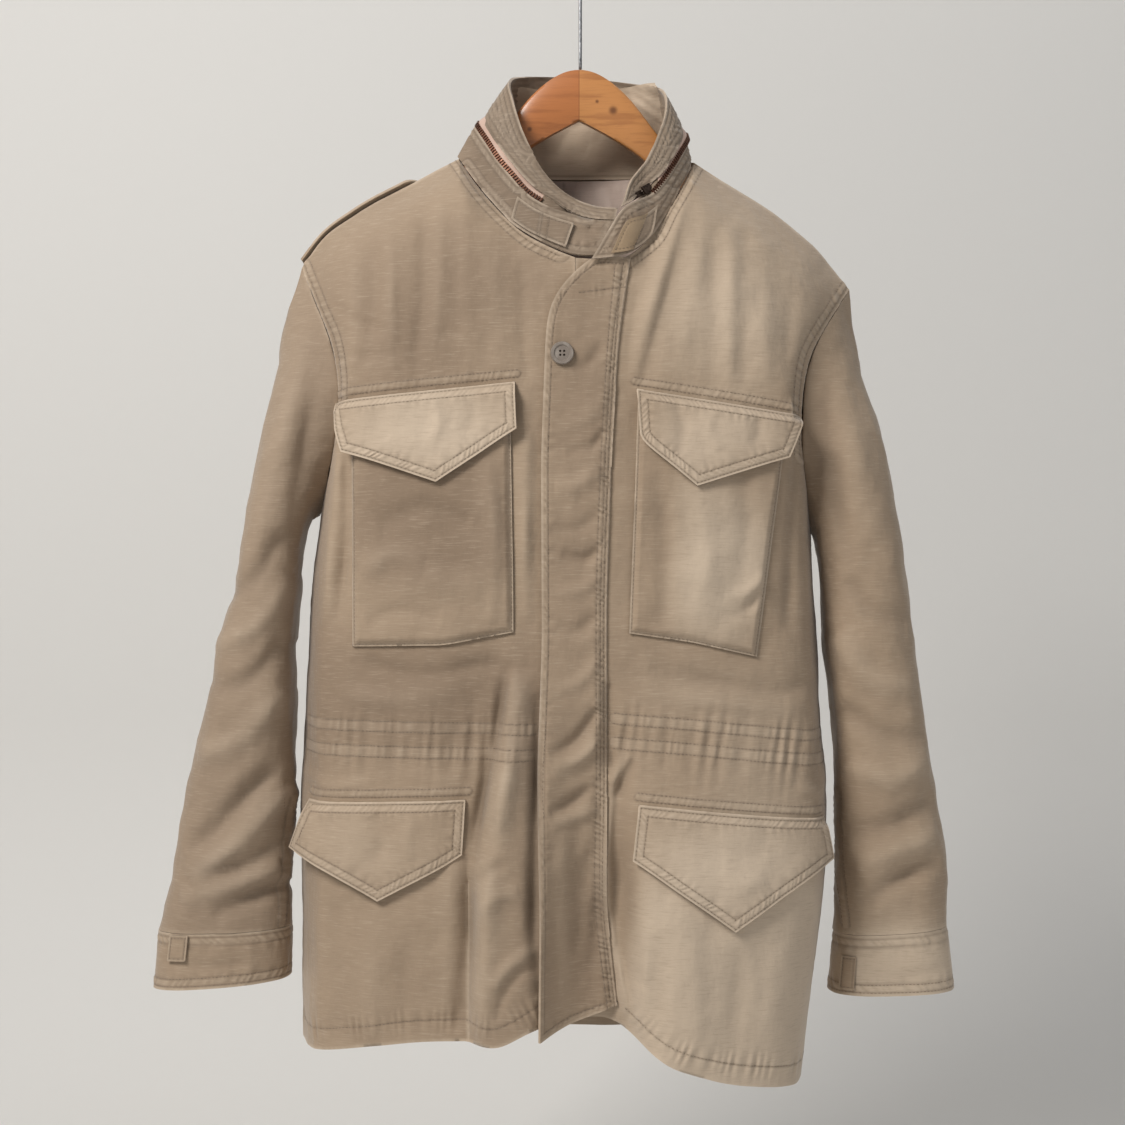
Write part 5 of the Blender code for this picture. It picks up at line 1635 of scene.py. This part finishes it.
@dataclass
class Palette:
    """Every finish of the jacket and its hanger, made once."""

    shell: bpy.types.Material
    flap: bpy.types.Material
    collar: bpy.types.Material
    sleeve_right: bpy.types.Material
    lining: bpy.types.Material
    webbing: bpy.types.Material
    tape: bpy.types.Material
    thread: bpy.types.Material
    brass: bpy.types.Material
    dark_metal: bpy.types.Material
    horn: bpy.types.Material
    wood: bpy.types.Material
    steel: bpy.types.Material

    @classmethod
    def make(cls) -> "Palette":
        """Return the finishes."""
        finishes = {
            "shell": SateenFinish(
                "shell_cloth", (0.360, 0.268, 0.186), (0.600, 0.490, 0.375), (0.235, 0.168, 0.114)
            ),
            # Painted light: the flaps get a paler copy of the shell cloth for the light they catch.
            "flap": SateenFinish(
                "flap_cloth", (0.385, 0.290, 0.204), (0.640, 0.525, 0.405), (0.255, 0.184, 0.126)
            ),
            "collar": SateenFinish(
                "collar_cloth", (0.290, 0.216, 0.153), (0.600, 0.500, 0.395), (0.185, 0.134, 0.092)
            ),
            "sleeve_right": SateenFinish(
                "sleeve_cloth", (0.318, 0.236, 0.165), (0.560, 0.455, 0.350), (0.205, 0.147, 0.101)
            ),
            # Painted light: the lining's colour is made paler to stand in for light that the shaded neck does not
            # get.
            "lining": SateenFinish(
                "lining_cloth", (0.600, 0.475, 0.405), (0.560, 0.470, 0.420), (0.290, 0.222, 0.190), 0.35, 0.60
            ),
            "webbing": PlainClothFinish("strap_webbing", (0.330, 0.232, 0.140), (0.420, 0.310, 0.200), 1800.0, 0.7),
            "tape": PlainClothFinish("zip_tape", (0.500, 0.345, 0.275), (0.640, 0.480, 0.400), 1500.0, 0.8),
            # Painted shade: the thread is darker than the cloth so that the rows of stitches read as shadowed
            # needle holes.
            "thread": PlainClothFinish("sewing_thread", (0.170, 0.124, 0.084), (0.270, 0.205, 0.148), 2500.0, 0.6),
            "brass": MetalFinish("zip_teeth_metal", (0.200, 0.100, 0.066), (0.070, 0.036, 0.026), 0.52),
            "dark_metal": MetalFinish("zip_slider_metal", (0.120, 0.085, 0.065), (0.045, 0.032, 0.026), 0.42),
            "horn": HornFinish("button_horn", (0.210, 0.175, 0.148), (0.300, 0.262, 0.228)),
            "wood": WoodFinish(),
            "steel": MetalFinish("hook_steel", (0.300, 0.305, 0.315), (0.150, 0.155, 0.165), 0.38),
        }
        return cls(**{slot: finish.make() for slot, finish in finishes.items()})


@dataclass
class BodyPanels:
    """The two fronts and the back, with the sewing that crosses them."""

    fronts: tuple[tuple[str, tuple[float, float], float], ...] = (
        ("front_right", (0.280, 0.820), 0.208),
        ("front_left", (0.275, 0.830), 0.204),
    )
    back: tuple[str, tuple[float, float], float] = ("back", (0.540, 0.840), 0.385)
    walls: list[ClothWall] = field(default_factory=list)

    def build(self, nodes: dict[str, bpy.types.Object]) -> None:
        """Make the three panels, fronts first.

        Args:
            nodes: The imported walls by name.
        """
        self.walls = [ClothWall(node, FRONT_LIE, level=2, splits=2, light_patches=FRONT_LIGHT_PATCHES) for node, _, _ in self.fronts]
        self.walls.append(ClothWall(self.back[0], BACK_LIE, level=2, splits=2, light_patches=BACK_LIGHT_PATCHES))
        for wall in self.walls:
            wall.build(nodes)

    def sew(self, thread: Thread) -> None:
        """Sew the seams of the front and the back."""
        for wall in self.walls[:2]:
            sew_seams(wall.piece, FRONT_LIE, Side.FRONT, thread)
        sew_seams(self.walls[2].piece, BACK_LIE, Side.BACK, thread)

    def dress(self, palette: Palette) -> None:
        """Finish the panels."""
        for wall, (_, flat, area) in zip(self.walls, (*self.fronts, self.back)):
            wall.dress(palette.shell)


@dataclass
class Pockets:
    """Chest pockets, the four flaps and the storm flap, which lie on the fronts."""

    sizes: dict[str, tuple[tuple[float, float], float]] = field(
        default_factory=lambda: {
            "chest_pocket_right": ((0.145, 0.215), 0.030),
            "chest_pocket_left": ((0.140, 0.212), 0.025),
            "chest_flap_right": ((0.165, 0.092), 0.0100),
            "chest_flap_left": ((0.148, 0.088), 0.0082),
            "lower_flap_right": ((0.165, 0.095), 0.0112),
            "lower_flap_left": ((0.172, 0.110), 0.0126),
            "storm_flap": ((0.080, 0.680), 0.041),
        }
    )
    edge_seat: float = 0.007
    top_seat: float = 0.012
    corner: float = 0.020
    flap_pitch: float = 0.0058
    flap_wear: float = 1.0
    seam_drops: tuple[float, ...] = (0.324, 0.393, 0.493, 0.619, 0.776, 0.880, 0.975)
    seam_places: tuple[float, ...] = (0.0440, 0.0340, 0.0279, 0.0236, 0.0236, 0.0227, 0.0330)
    gap: float = 0.0005
    walls: dict[str, ClothWall] = field(default_factory=dict)

    def build(self, nodes: dict[str, bpy.types.Object], under: BVHTree) -> None:
        """Make the pieces and sew their fixed edges down.

        Args:
            nodes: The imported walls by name.
            under: The fronts' faces.
        """
        for node in self.sizes:
            if "pocket" in node:
                wall = ClothWall(node, CHEST_LIE, Field.FLAT, rows=(0.0018,), pucker=0.0002, light_patches=POCKET_LIGHT_PATCHES)
            elif node == "storm_flap":
                wall = ClothWall(node, STORM_LIE, Field.FLAT, rows=(0.0060,), pucker=0.0006, light_patches=STORM_LIGHT_PATCHES)
            else:
                wall = ClothWall(node, FLAP_LIE, Field.FLAT, rows=(0.0022, 0.0088), pucker=0.0006, light_patches=FLAP_LIGHT_PATCHES)
                wall.pitch, wall.wear = self.flap_pitch, self.flap_wear
            wall.build(nodes)
            self.walls[node] = wall
            points = points_of(wall.piece.data)
            away, _ = rim_place([loop for loop, _ in wall.loops], points)
            if "pocket" in node:
                weight = 1.0 - eased(away / self.edge_seat)
            elif node == "storm_flap":
                seam_x = np.interp(-points[:, 2], self.seam_drops, self.seam_places)
                weight = 1.0 - eased((seam_x - points[:, 0]) / self.top_seat)
            else:
                left, right = points[:, 0].min(), points[:, 0].max()
                near_left = points[points[:, 0] < left + self.corner]
                near_right = points[points[:, 0] > right - self.corner]
                top = np.interp(points[:, 0], [left, right], [near_left[:, 2].max(), near_right[:, 2].max()])
                weight = 1.0 - eased((top - points[:, 2]) / self.top_seat)
            seat(wall.piece, under, weight, self.gap)

    def sew(self, thread: Thread) -> None:
        """Sew the pieces' edges and the storm flap's seam."""
        for wall in self.walls.values():
            wall.sew(thread)
        sew_seams(self.walls["storm_flap"].piece, STORM_LIE, Side.FRONT, thread)

    def dress(self, palette: Palette) -> None:
        """Finish the pieces."""
        for node, wall in self.walls.items():
            wall.dress(palette.flap if "flap" in node and node != "storm_flap" else palette.shell)
            side = "front_left" if "left" in node or node == "storm_flap" else "front_right"


@dataclass
class Sleeves:
    """The sleeves with their cuffs, the cuffs' patches and the shoulder straps."""

    sizes: dict[str, tuple[tuple[float, float], float]] = field(
        default_factory=lambda: {
            "sleeve_right": ((0.330, 0.600), 0.141),
            "sleeve_left": ((0.320, 0.600), 0.139),
            "cuff_right": ((0.300, 0.055), 0.0160),
            "cuff_left": ((0.290, 0.056), 0.0158),
            "cuff_patch_right": ((0.020, 0.030), 0.00055),
            "cuff_patch_left": ((0.014, 0.030), 0.0004),
            "epaulette_right": ((0.046, 0.143), 0.0060),
            "epaulette_left": ((0.046, 0.146), 0.0061),
        }
    )
    walls: dict[str, ClothWall] = field(default_factory=dict)

    def build(self, nodes: dict[str, bpy.types.Object]) -> None:
        """Make the tubes, patches and straps.

        Args:
            nodes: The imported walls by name.
        """
        for node in self.sizes:
            if node.startswith("sleeve"):
                wall = ClothWall(node, SLEEVE_LIE, Field.TUBE, 2, 2, rim=0.0018, wear=0.35, light_patches=SLEEVE_LIGHT_PATCHES)
            elif node.startswith("cuff_patch"):
                wall = ClothWall(node, STIFF_LIE, Field.FLAT, 2, rows=(0.0022,), wear=0.5)
            elif node.startswith("cuff"):
                wall = ClothWall(node, CUFF_LIE, Field.TUBE, rows=(0.0030, 0.0100), pucker=0.0007, light_patches=SLEEVE_LIGHT_PATCHES)
            else:
                wall = ClothWall(node, STIFF_LIE, Field.TOP, 2, rows=(0.0030,), wear=0.8)
            wall.build(nodes)
            self.walls[node] = wall

    def sew(self, thread: Thread) -> None:
        """Sew the cuffs, patches and straps, and the sleeves' own seams."""
        for wall in self.walls.values():
            wall.sew(thread)
        for node in ("sleeve_right", "sleeve_left"):
            sew_seams(self.walls[node].piece, SLEEVE_LIE, Side.FRONT, thread)

    def dress(self, palette: Palette) -> None:
        """Finish the pieces."""
        for node, wall in self.walls.items():
            wall.dress(palette.sleeve_right if node.startswith("sleeve_right") else palette.shell)


@dataclass
class Facing:
    """The plain cloth inside the back of the neck, which covers the bands down to the lining's edge."""

    left: float = -0.056
    right: float = 0.071
    top: float = 0.1400
    low: float = 0.2235
    columns: int = 72
    rows: int = 48
    clear: float = 0.0026
    wall: float = 0.0012
    gathers: float = 0.0011
    into: float = 0.0010
    hood: tuple[float, float, float, float] = (0.056, 0.166, 0.017, 0.026)
    hood_height: float = 0.0090
    reach: float = 0.12
    side_reach: float = 0.11
    soften: int = 12
    worn: float = 0.0016
    needle: tuple[float, float, float] = (0.0034, 0.0008, 0.6)
    spread_limits: tuple[float, float] = (0.006, 0.014)

    def build(self, behind: BVHTree, palette: Palette) -> bpy.types.Object:
        """Make the facing against the inside of the collar and the back.

        Args:
            behind: The faces of the collar's bands and of the back.
            palette: The finishes.

        Returns:
            The facing.
        """
        across = np.linspace(self.left, self.right, self.columns)
        down = np.linspace(self.top, self.low, self.rows)
        depth = np.full((self.rows, self.columns), np.nan)
        for i, drop in enumerate(down):
            for j, x in enumerate(across):
                hit = behind.ray_cast(Vector((x, 0.0, -drop)), Vector((0.0, 1.0, 0.0)), self.reach)[0]
                if hit is not None:
                    depth[i, j] = hit.y
        for i in range(self.rows):
            known = np.nonzero(~np.isnan(depth[i]))[0]
            depth[i] = np.interp(np.arange(self.columns), known, depth[i, known])
        wall = depth.copy()
        for _ in range(self.soften):
            padded = np.pad(wall, 1, mode="edge")
            wall = (padded[:-2, 1:-1] + padded[2:, 1:-1] + padded[1:-1, :-2] + padded[1:-1, 2:]) / 4.0
            wall = np.minimum(wall, depth)
        grid_x, grid_drop = np.meshgrid(across, down)
        hood_x, hood_drop, wide, tall = self.hood
        bulge = np.exp(-(((grid_x - hood_x) / wide) ** 2) - ((grid_drop - hood_drop) / tall) ** 2)
        soft = eased((self.low - grid_drop) / 0.02)
        folds = self.gathers * ripple(grid_x + 0.9 * grid_drop, 0.043, 3.0) * soft
        folds += 0.5 * self.gathers * ripple(grid_x - 0.5 * grid_drop, 0.026, 5.0) * soft
        folds += 0.35 * self.hood_height * bulge * ripple(grid_x - 0.9 * grid_drop, 0.013, 1.0)
        y = wall - self.clear - self.hood_height * bulge - np.abs(folds)
        grid_x = self.reach_bands(behind, grid_x, grid_drop, y)
        front = np.stack([grid_x, y, -grid_drop], axis=-1).reshape(-1, 3)
        points = np.vstack([front, front + np.array([0.0, self.wall, 0.0])])
        mesh = bpy.data.meshes.new("neck_facing_cloth")
        mesh.from_pydata([tuple(point) for point in points], [], self.faces())
        above = (self.low - grid_drop).ravel()
        edge = np.exp(-((above / self.worn) ** 2))
        set_attribute(mesh, "edge", np.concatenate([edge, edge]))
        # Painted shade along the needle row above the facing's lower edge.
        inside, width, shade = self.needle
        sunk = np.exp(-(((above - inside) / width) ** 2)) * shade
        set_attribute(mesh, "tuck", np.concatenate([sunk, sunk]))
        # Painted light: the facing in the shaded neck is painted paler, most over the hood's bulge.
        set_attribute(mesh, "sun", np.concatenate([0.85 + 0.15 * bulge.ravel()] * 2))
        smooth_faces(mesh)
        piece = add_object("neck_facing_cloth", mesh, palette.shell)
        put_on(piece, "neck_facing")
        return piece

    def reach_bands(self, bands: BVHTree, grid_x: np.ndarray, grid_drop: np.ndarray, y: np.ndarray) -> np.ndarray:
        """Spread the facing's sides until they end inside the collar's bands.

        Args:
            bands: The faces of the bands and the back.
            grid_x: The facing's places across.
            grid_drop: Its places down.
            y: Its depths.

        Returns:
            The new places across.
        """
        middle = (self.left + self.right) / 2.0
        inner, outer = self.spread_limits
        spread = grid_x.copy()
        for way, column in ((-1.0, 0), (1.0, self.columns - 1)):
            end = grid_x[0, column]
            ends = np.full(self.rows, end)
            for i in range(self.rows):
                start = Vector((middle, float(y[i, column]), -float(grid_drop[i, column])))
                hit = bands.ray_cast(start, Vector((way, 0.0, 0.0)), self.side_reach)[0]
                if hit is not None:
                    ends[i] = np.clip(hit.x + way * self.into, end - inner, end + outer)
            ends = np.convolve(np.pad(ends, 2, mode="edge"), np.ones(5) / 5.0, "valid")
            pull = eased((way * (grid_x - middle) / abs(end - middle) - 0.45) / 0.55)
            spread += pull * (ends - end)[:, None]
        return spread

    def faces(self) -> list[tuple[int, ...]]:
        """Return the faces of a thin closed wall between two grids."""
        count = self.rows * self.columns
        faces = []
        for i in range(self.rows - 1):
            for j in range(self.columns - 1):
                here = i * self.columns + j
                low = here + self.columns
                faces.append((here, low, low + 1, here + 1))
                faces.append((count + here, count + here + 1, count + low + 1, count + low))
        rim = list(range(self.columns))
        rim += [i * self.columns + self.columns - 1 for i in range(1, self.rows)]
        rim += [(self.rows - 1) * self.columns + j for j in range(self.columns - 2, -1, -1)]
        rim += [i * self.columns for i in range(self.rows - 2, 0, -1)]
        for here, there in zip(rim, rim[1:] + rim[:1]):
            faces.append((here, there, count + there, count + here))
        return faces


@dataclass
class Collar:
    """The collar's two bands, its straps, the zip between the bands and the lining in the neck."""

    sizes: dict[str, tuple[tuple[float, float], float]] = field(
        default_factory=lambda: {
            "collar_lower": ((0.440, 0.062), 0.0168),
            "collar_upper": ((0.420, 0.060), 0.0149),
            "collar_tab": ((0.054, 0.026), 0.0012),
            "throat_strap": ((0.046, 0.032), 0.0012),
            "neck_lining": ((0.150, 0.085), 0.0126),
        }
    )
    rows: tuple[float, ...] = (0.0030, 0.0078, 0.0126, 0.0174, 0.0222, 0.0270)
    middle: tuple[float, float] = (0.008, 0.0)
    tape_width: float = 0.0150
    tape_wall: float = 0.0008
    behind: float = 0.0018
    teeth_drop: float = 0.0022
    teeth_proud: float = 0.0006
    end_steps: int = 5
    end_sinks: tuple[float, float] = (0.0070, 0.0150)
    press_from: tuple[float, float, float] = (-0.004, -0.010, -0.002)
    press_reach: float = 0.018
    press_depth: float = 0.0085
    webbing_end: tuple[float, float, float] = (0.0490, 0.3065, 0.40)
    walls: dict[str, ClothWall] = field(default_factory=dict)
    facing: Facing = field(default_factory=Facing)
    tape: bpy.types.Object | None = None
    teeth: bpy.types.Object | None = None

    def build(self, nodes: dict[str, bpy.types.Object], palette: Palette) -> None:
        """Make the bands, straps, lining, tape and teeth.

        Args:
            nodes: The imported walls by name.
            palette: The finishes, which the teeth need.
        """
        band = Lie(crumple=0.0005, soft=0.0010)
        for node in self.sizes:
            if node == "collar_upper":
                wall = ClothWall(node, band, Field.TUBE, rows=self.rows, roll=0.0006, pucker=0.0007, pitch=0.0062)
            elif node == "collar_lower":
                wall = ClothWall(node, band, Field.TUBE, rows=(0.0030, 0.0085), pucker=0.0008, pitch=0.0070)
            elif node == "neck_lining":
                wall = ClothWall(node, LINING_LIE, Field.FLAT, 2, wear=0.0)
            else:
                wall = ClothWall(node, STRAP_LIE, Field.FLAT, 2, rows=(0.0026,), wear=0.6)
            wall.light_patches = COLLAR_LIGHT_PATCHES
            wall.build(nodes)
            self.walls[node] = wall
        self.clear_slider(nodes["zip_slider"])
        self.tape, self.teeth = self.make_zip(nodes["collar_zip"], palette)

    def clear_slider(self, slider: bpy.types.Object) -> None:
        """Press the upper band in just before the zip's slider, which the cloth there would hide."""
        piece = self.walls["collar_upper"].piece
        points = points_of(piece.data)
        place = np.mean([slider.matrix_world @ vertex.co for vertex in slider.data.vertices], axis=0)
        inward = unit(np.column_stack([np.array(self.middle) - points[:, :2], np.zeros(len(points))]))
        ahead = place + np.array(self.press_from)
        near = np.exp(-((np.linalg.norm(points - ahead, axis=1) / self.press_reach) ** 2))
        set_points(piece.data, points + inward * (self.press_depth * near)[:, None])

    def zip_line(self, node: bpy.types.Object) -> tuple[np.ndarray, np.ndarray, np.ndarray]:
        """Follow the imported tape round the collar.

        Args:
            node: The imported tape.

        Returns:
            The middle of its outer face, the way up it and the outward way, at each place.
        """
        points = np.unique(points_of(node.data).round(5), axis=0)
        flat = points[:, :2] - np.array(self.middle)
        turn = np.mod(-np.degrees(np.arctan2(flat[:, 0], -flat[:, 1])), 360.0)
        order = np.argsort(turn)
        rows = []
        for first in range(0, len(order) - 3, 4):
            group = points[order[first : first + 4]]
            by_height = group[np.argsort(group[:, 2])]
            outer = []
            for pair in (by_height[:2], by_height[2:]):
                outer.append(pair[np.argmax(np.linalg.norm(pair[:, :2] - np.array(self.middle), axis=1))])
            rows.append(np.concatenate([(outer[0] + outer[1]) / 2.0, outer[1] - outer[0]]))
        smooth = curved([tuple(row) for row in rows], 0.004)
        centre, up = smooth[:, :3], unit(smooth[:, 3:])
        out = unit(np.cross(np.gradient(centre, axis=0), up))
        outward = np.column_stack([centre[:, :2] - np.array(self.middle), np.zeros(len(centre))])
        out *= np.sign(np.sum(out * outward, axis=1))[:, None]
        return centre, up, out

    def make_zip(self, node: bpy.types.Object, palette: Palette) -> tuple[bpy.types.Object, bpy.types.Object]:
        """Make the tape, whose edges run behind the bands, and the teeth along its lower half.

        Args:
            node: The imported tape.
            palette: The finishes.

        Returns:
            The tape and the teeth.
        """
        centre, up, out = self.zip_line(node)
        route, ups, outs = self.longer(centre), unit(self.longer(up)), unit(self.longer(out))
        toothed = slice(self.end_steps, 2 - self.end_steps)
        teeth_out = outs[toothed]
        line = route[toothed] - ups[toothed] * self.teeth_drop + teeth_out * self.teeth_proud
        past = np.arange(1, self.end_steps + 1) / self.end_steps
        sinks = [self.end_sinks[0] * past[::-1] ** 2, np.zeros(len(centre)), self.end_sinks[1] * past**2]
        route = route - outs * np.concatenate(sinks)[:, None]
        shares = np.linspace(-0.5, 0.5, 7)
        rows = []
        for sink in (0.0, self.tape_wall):
            for share in shares:
                behind = self.behind * eased(np.array([(abs(share) - 0.25) / 0.15]))[0] + sink
                rows.append(route + ups * share * self.tape_width - outs * behind)
        count, columns, half = len(route), len(rows), len(shares)
        points = np.array(rows).transpose(1, 0, 2).reshape(-1, 3)
        ring = [*range(half), *range(columns - 1, half - 1, -1)]
        faces = []
        for i in range(count - 1):
            for here, there in zip(ring, ring[1:] + ring[:1]):
                first, next_one = i * columns, (i + 1) * columns
                faces.append((first + here, first + there, next_one + there, next_one + here))
        faces += [tuple(ring), tuple((count - 1) * columns + index for index in reversed(ring))]
        mesh = bpy.data.meshes.new("collar_zip_cloth")
        mesh.from_pydata([tuple(point) for point in points], [], faces)
        work = bmesh.new()
        work.from_mesh(mesh)
        bmesh.ops.recalc_face_normals(work, faces=work.faces)
        work.to_mesh(mesh)
        work.free()
        smooth_faces(mesh)
        tape = add_object("collar_zip_cloth", mesh, palette.tape, palette.collar)
        for face in mesh.polygons:
            step = min(face.vertices) // columns
            face.material_index = 0 if self.end_steps <= step < count - 1 - self.end_steps else 1
        sizes = {"Pitch": 0.0030, "Length": 0.0015, "Width": 0.0046, "Height": 0.0020}
        teeth = place_along("collar_zip_teeth", [(line, teeth_out)], sizes, palette.brass, True)
        return tape, teeth

    def longer(self, line: np.ndarray) -> np.ndarray:
        """Carry a line on past both ends with its own bend."""
        steps = np.arange(1, self.end_steps + 1)[:, None]
        added = []
        for ended in (line[::-1], line):
            speed = (ended[-1] - ended[-5]) / 4.0
            bend = (ended[-1] - 2.0 * ended[-5] + ended[-9]) / 16.0
            added.append(ended[-1] + steps * (speed + 2.0 * bend) + 0.5 * bend * steps**2)
        return np.vstack([added[0][::-1], line, added[1]])

    def face(self, back: ClothWall, palette: Palette) -> None:
        """Lay the facing over the inside of the bands and the back."""
        behind = [self.walls["collar_lower"].piece, self.walls["collar_upper"].piece, self.tape, back.piece]
        self.facing.build(tree_of(*behind), palette)

    def sew(self, thread: Thread) -> None:
        """Sew the bands, straps and tape."""
        for wall in self.walls.values():
            wall.sew(thread)
        for node in ("collar_tab", "throat_strap"):
            sew_seams(self.walls[node].piece, STRAP_LIE, Side.FRONT, thread)

    def dress(self, palette: Palette) -> None:
        """Finish the collar's pieces."""
        for node, wall in self.walls.items():
            inner = node.startswith("neck_lining")
            wall.dress(palette.lining if inner else palette.collar, "lining" if inner else "shell")
        strap = self.walls["throat_strap"].piece.data
        strap.materials.append(palette.webbing)
        end_x, end_drop, lean = self.webbing_end
        for face in strap.polygons:
            x, _, z = face.center
            face.material_index = int(x < end_x - lean * (-z - end_drop))
        put_on(self.tape, "collar_zip")
        put_on(self.teeth)


@dataclass
class HardPieces:
    """The hanger, which is smoothed, and the button, slider and pull tab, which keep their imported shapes."""

    rounded: tuple[tuple[str, str, int], ...] = (("hanger_wood", "wood", 2), ("hanger_hook", "steel", 2))
    kept: tuple[tuple[str, str], ...] = (
        ("front_button", "horn"),
        ("zip_slider", "dark_metal"),
        ("zip_pull", "dark_metal"),
    )

    def dress(self, nodes: dict[str, bpy.types.Object], palette: Palette) -> None:
        """Smooth the hanger and give each hard piece its finish.

        Args:
            nodes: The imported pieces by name.
            palette: The finishes.
        """
        for node, finish, level in self.rounded:
            piece = fine_copy(nodes[node], f"{node}_smooth", level)
            coat(piece.data, getattr(palette, finish))
            smooth_faces(piece.data)
            put_on(piece, node)
        for node, finish in self.kept:
            coat(nodes[node].data, getattr(palette, finish))


@dataclass
class Studio:
    """The camera, a pale floor with a backdrop, and soft lights."""

    place: tuple[float, float, float] = (-0.0152, -1.6, -0.5865)
    lens: float = 55.65
    sensor: float = 36.0
    floor_drop: float = 1.32
    floor_half: float = 3.0
    wall_y: float = 1.1
    wall_height: float = 3.2
    bend: float = 0.5
    bend_steps: int = 12
    aim: tuple[float, float, float] = (0.0, 0.0, -0.55)

    def build(self) -> None:
        """Set up the studio."""
        lens = bpy.data.cameras.new("camera")
        lens.lens, lens.sensor_width = self.lens, self.sensor
        camera = bpy.data.objects.new("camera", lens)
        camera.location = self.place
        camera.rotation_euler = (math.radians(90.0), 0.0, 0.0)
        bpy.context.scene.collection.objects.link(camera)
        bpy.context.scene.camera = camera
        self.sweep()
        self.light("key", (-1.45, -1.55, 1.05), 0.9, 62.0, (1.0, 0.97, 0.93))
        self.light("fill", (2.1, -1.9, -0.2), 2.2, 9.0, (0.96, 0.98, 1.0))
        self.light("rim", (0.6, 1.0, 1.4), 1.4, 14.0, (1.0, 0.98, 0.95))
        world = bpy.data.worlds.new("studio")
        world.use_nodes = True
        background = world.node_tree.nodes["Background"]
        background.inputs["Color"].default_value = (0.93, 0.94, 0.95, 1.0)
        background.inputs["Strength"].default_value = 0.30
        bpy.context.scene.world = world
        bpy.context.scene.view_settings.view_transform = "Standard"

    def sweep(self) -> None:
        """Make the floor, which bends up into the backdrop."""
        profile = [(-self.floor_half * 1.5, -self.floor_drop), (self.wall_y - self.bend, -self.floor_drop)]
        for step in range(1, self.bend_steps + 1):
            angle = math.radians(90.0 * step / self.bend_steps)
            rise = self.bend * (1.0 - math.cos(angle))
            profile.append((self.wall_y - self.bend + self.bend * math.sin(angle), -self.floor_drop + rise))
        profile.append((self.wall_y, self.wall_height))
        points = [(x, y, z) for y, z in profile for x in (-self.floor_half, self.floor_half)]
        faces = [(2 * i, 2 * i + 1, 2 * i + 3, 2 * i + 2) for i in range(len(profile) - 1)]
        mesh = bpy.data.meshes.new("backdrop")
        mesh.from_pydata(points, [], faces)
        tree = ShaderTree("backdrop")
        paper = tree.noise(60.0)
        colour = tree.mix(paper * 0.2, (0.72, 0.71, 0.69), (0.76, 0.75, 0.73))
        add_object("backdrop", mesh, tree.finish(Base_Color=colour, Roughness=0.9))
        smooth_faces(mesh)

    def light(self, name: str, place: Sequence[float], size: float, power: float, colour: Sequence[float]) -> None:
        """Add a soft square light that faces the jacket's middle.

        Args:
            name: The light's name.
            place: Where it stands.
            size: Its side.
            power: Its watts.
            colour: Its tint.
        """
        lamp = bpy.data.lights.new(name, "AREA")
        lamp.size, lamp.energy, lamp.color = size, power, colour
        item = bpy.data.objects.new(name, lamp)
        item.location = place
        item.rotation_euler = (Vector(self.aim) - Vector(place)).to_track_quat("-Z", "Y").to_euler()
        bpy.context.scene.collection.objects.link(item)


def main() -> None:
    """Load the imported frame, build each sub-assembly in order and report each piece."""
    logging.basicConfig(level=logging.INFO, format="%(message)s")
    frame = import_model()
    nodes = frame["nodes"]
    palette = Palette.make()

    Studio().build()
    thread = Thread("shell_stitches")
    body = BodyPanels()
    body.build(nodes)
    body.sew(thread)
    fronts = tree_of(*(wall.piece for wall in body.walls[:2]))
    pockets = Pockets()
    pockets.build(nodes, fronts)
    pockets.sew(thread)
    sleeves = Sleeves()
    sleeves.build(nodes)
    sleeves.sew(thread)
    collar = Collar()
    collar.build(nodes, palette)
    collar.face(body.walls[2], palette)
    collar.sew(thread)
    for assembly in (body, pockets, sleeves, collar):
        assembly.dress(palette)
    HardPieces().dress(nodes, palette)
    thread.sew(palette.thread)

    total = 0
    for piece in bpy.data.objects:
        if piece.type == "MESH" and not piece.hide_render:
            triangles = sum(len(face.vertices) - 2 for face in piece.data.polygons)
            total += triangles
            LOG.info("%s: %d triangles", piece.name, triangles)
    LOG.info("all pieces: %d triangles", total)


if __name__ == "__main__":
    main()
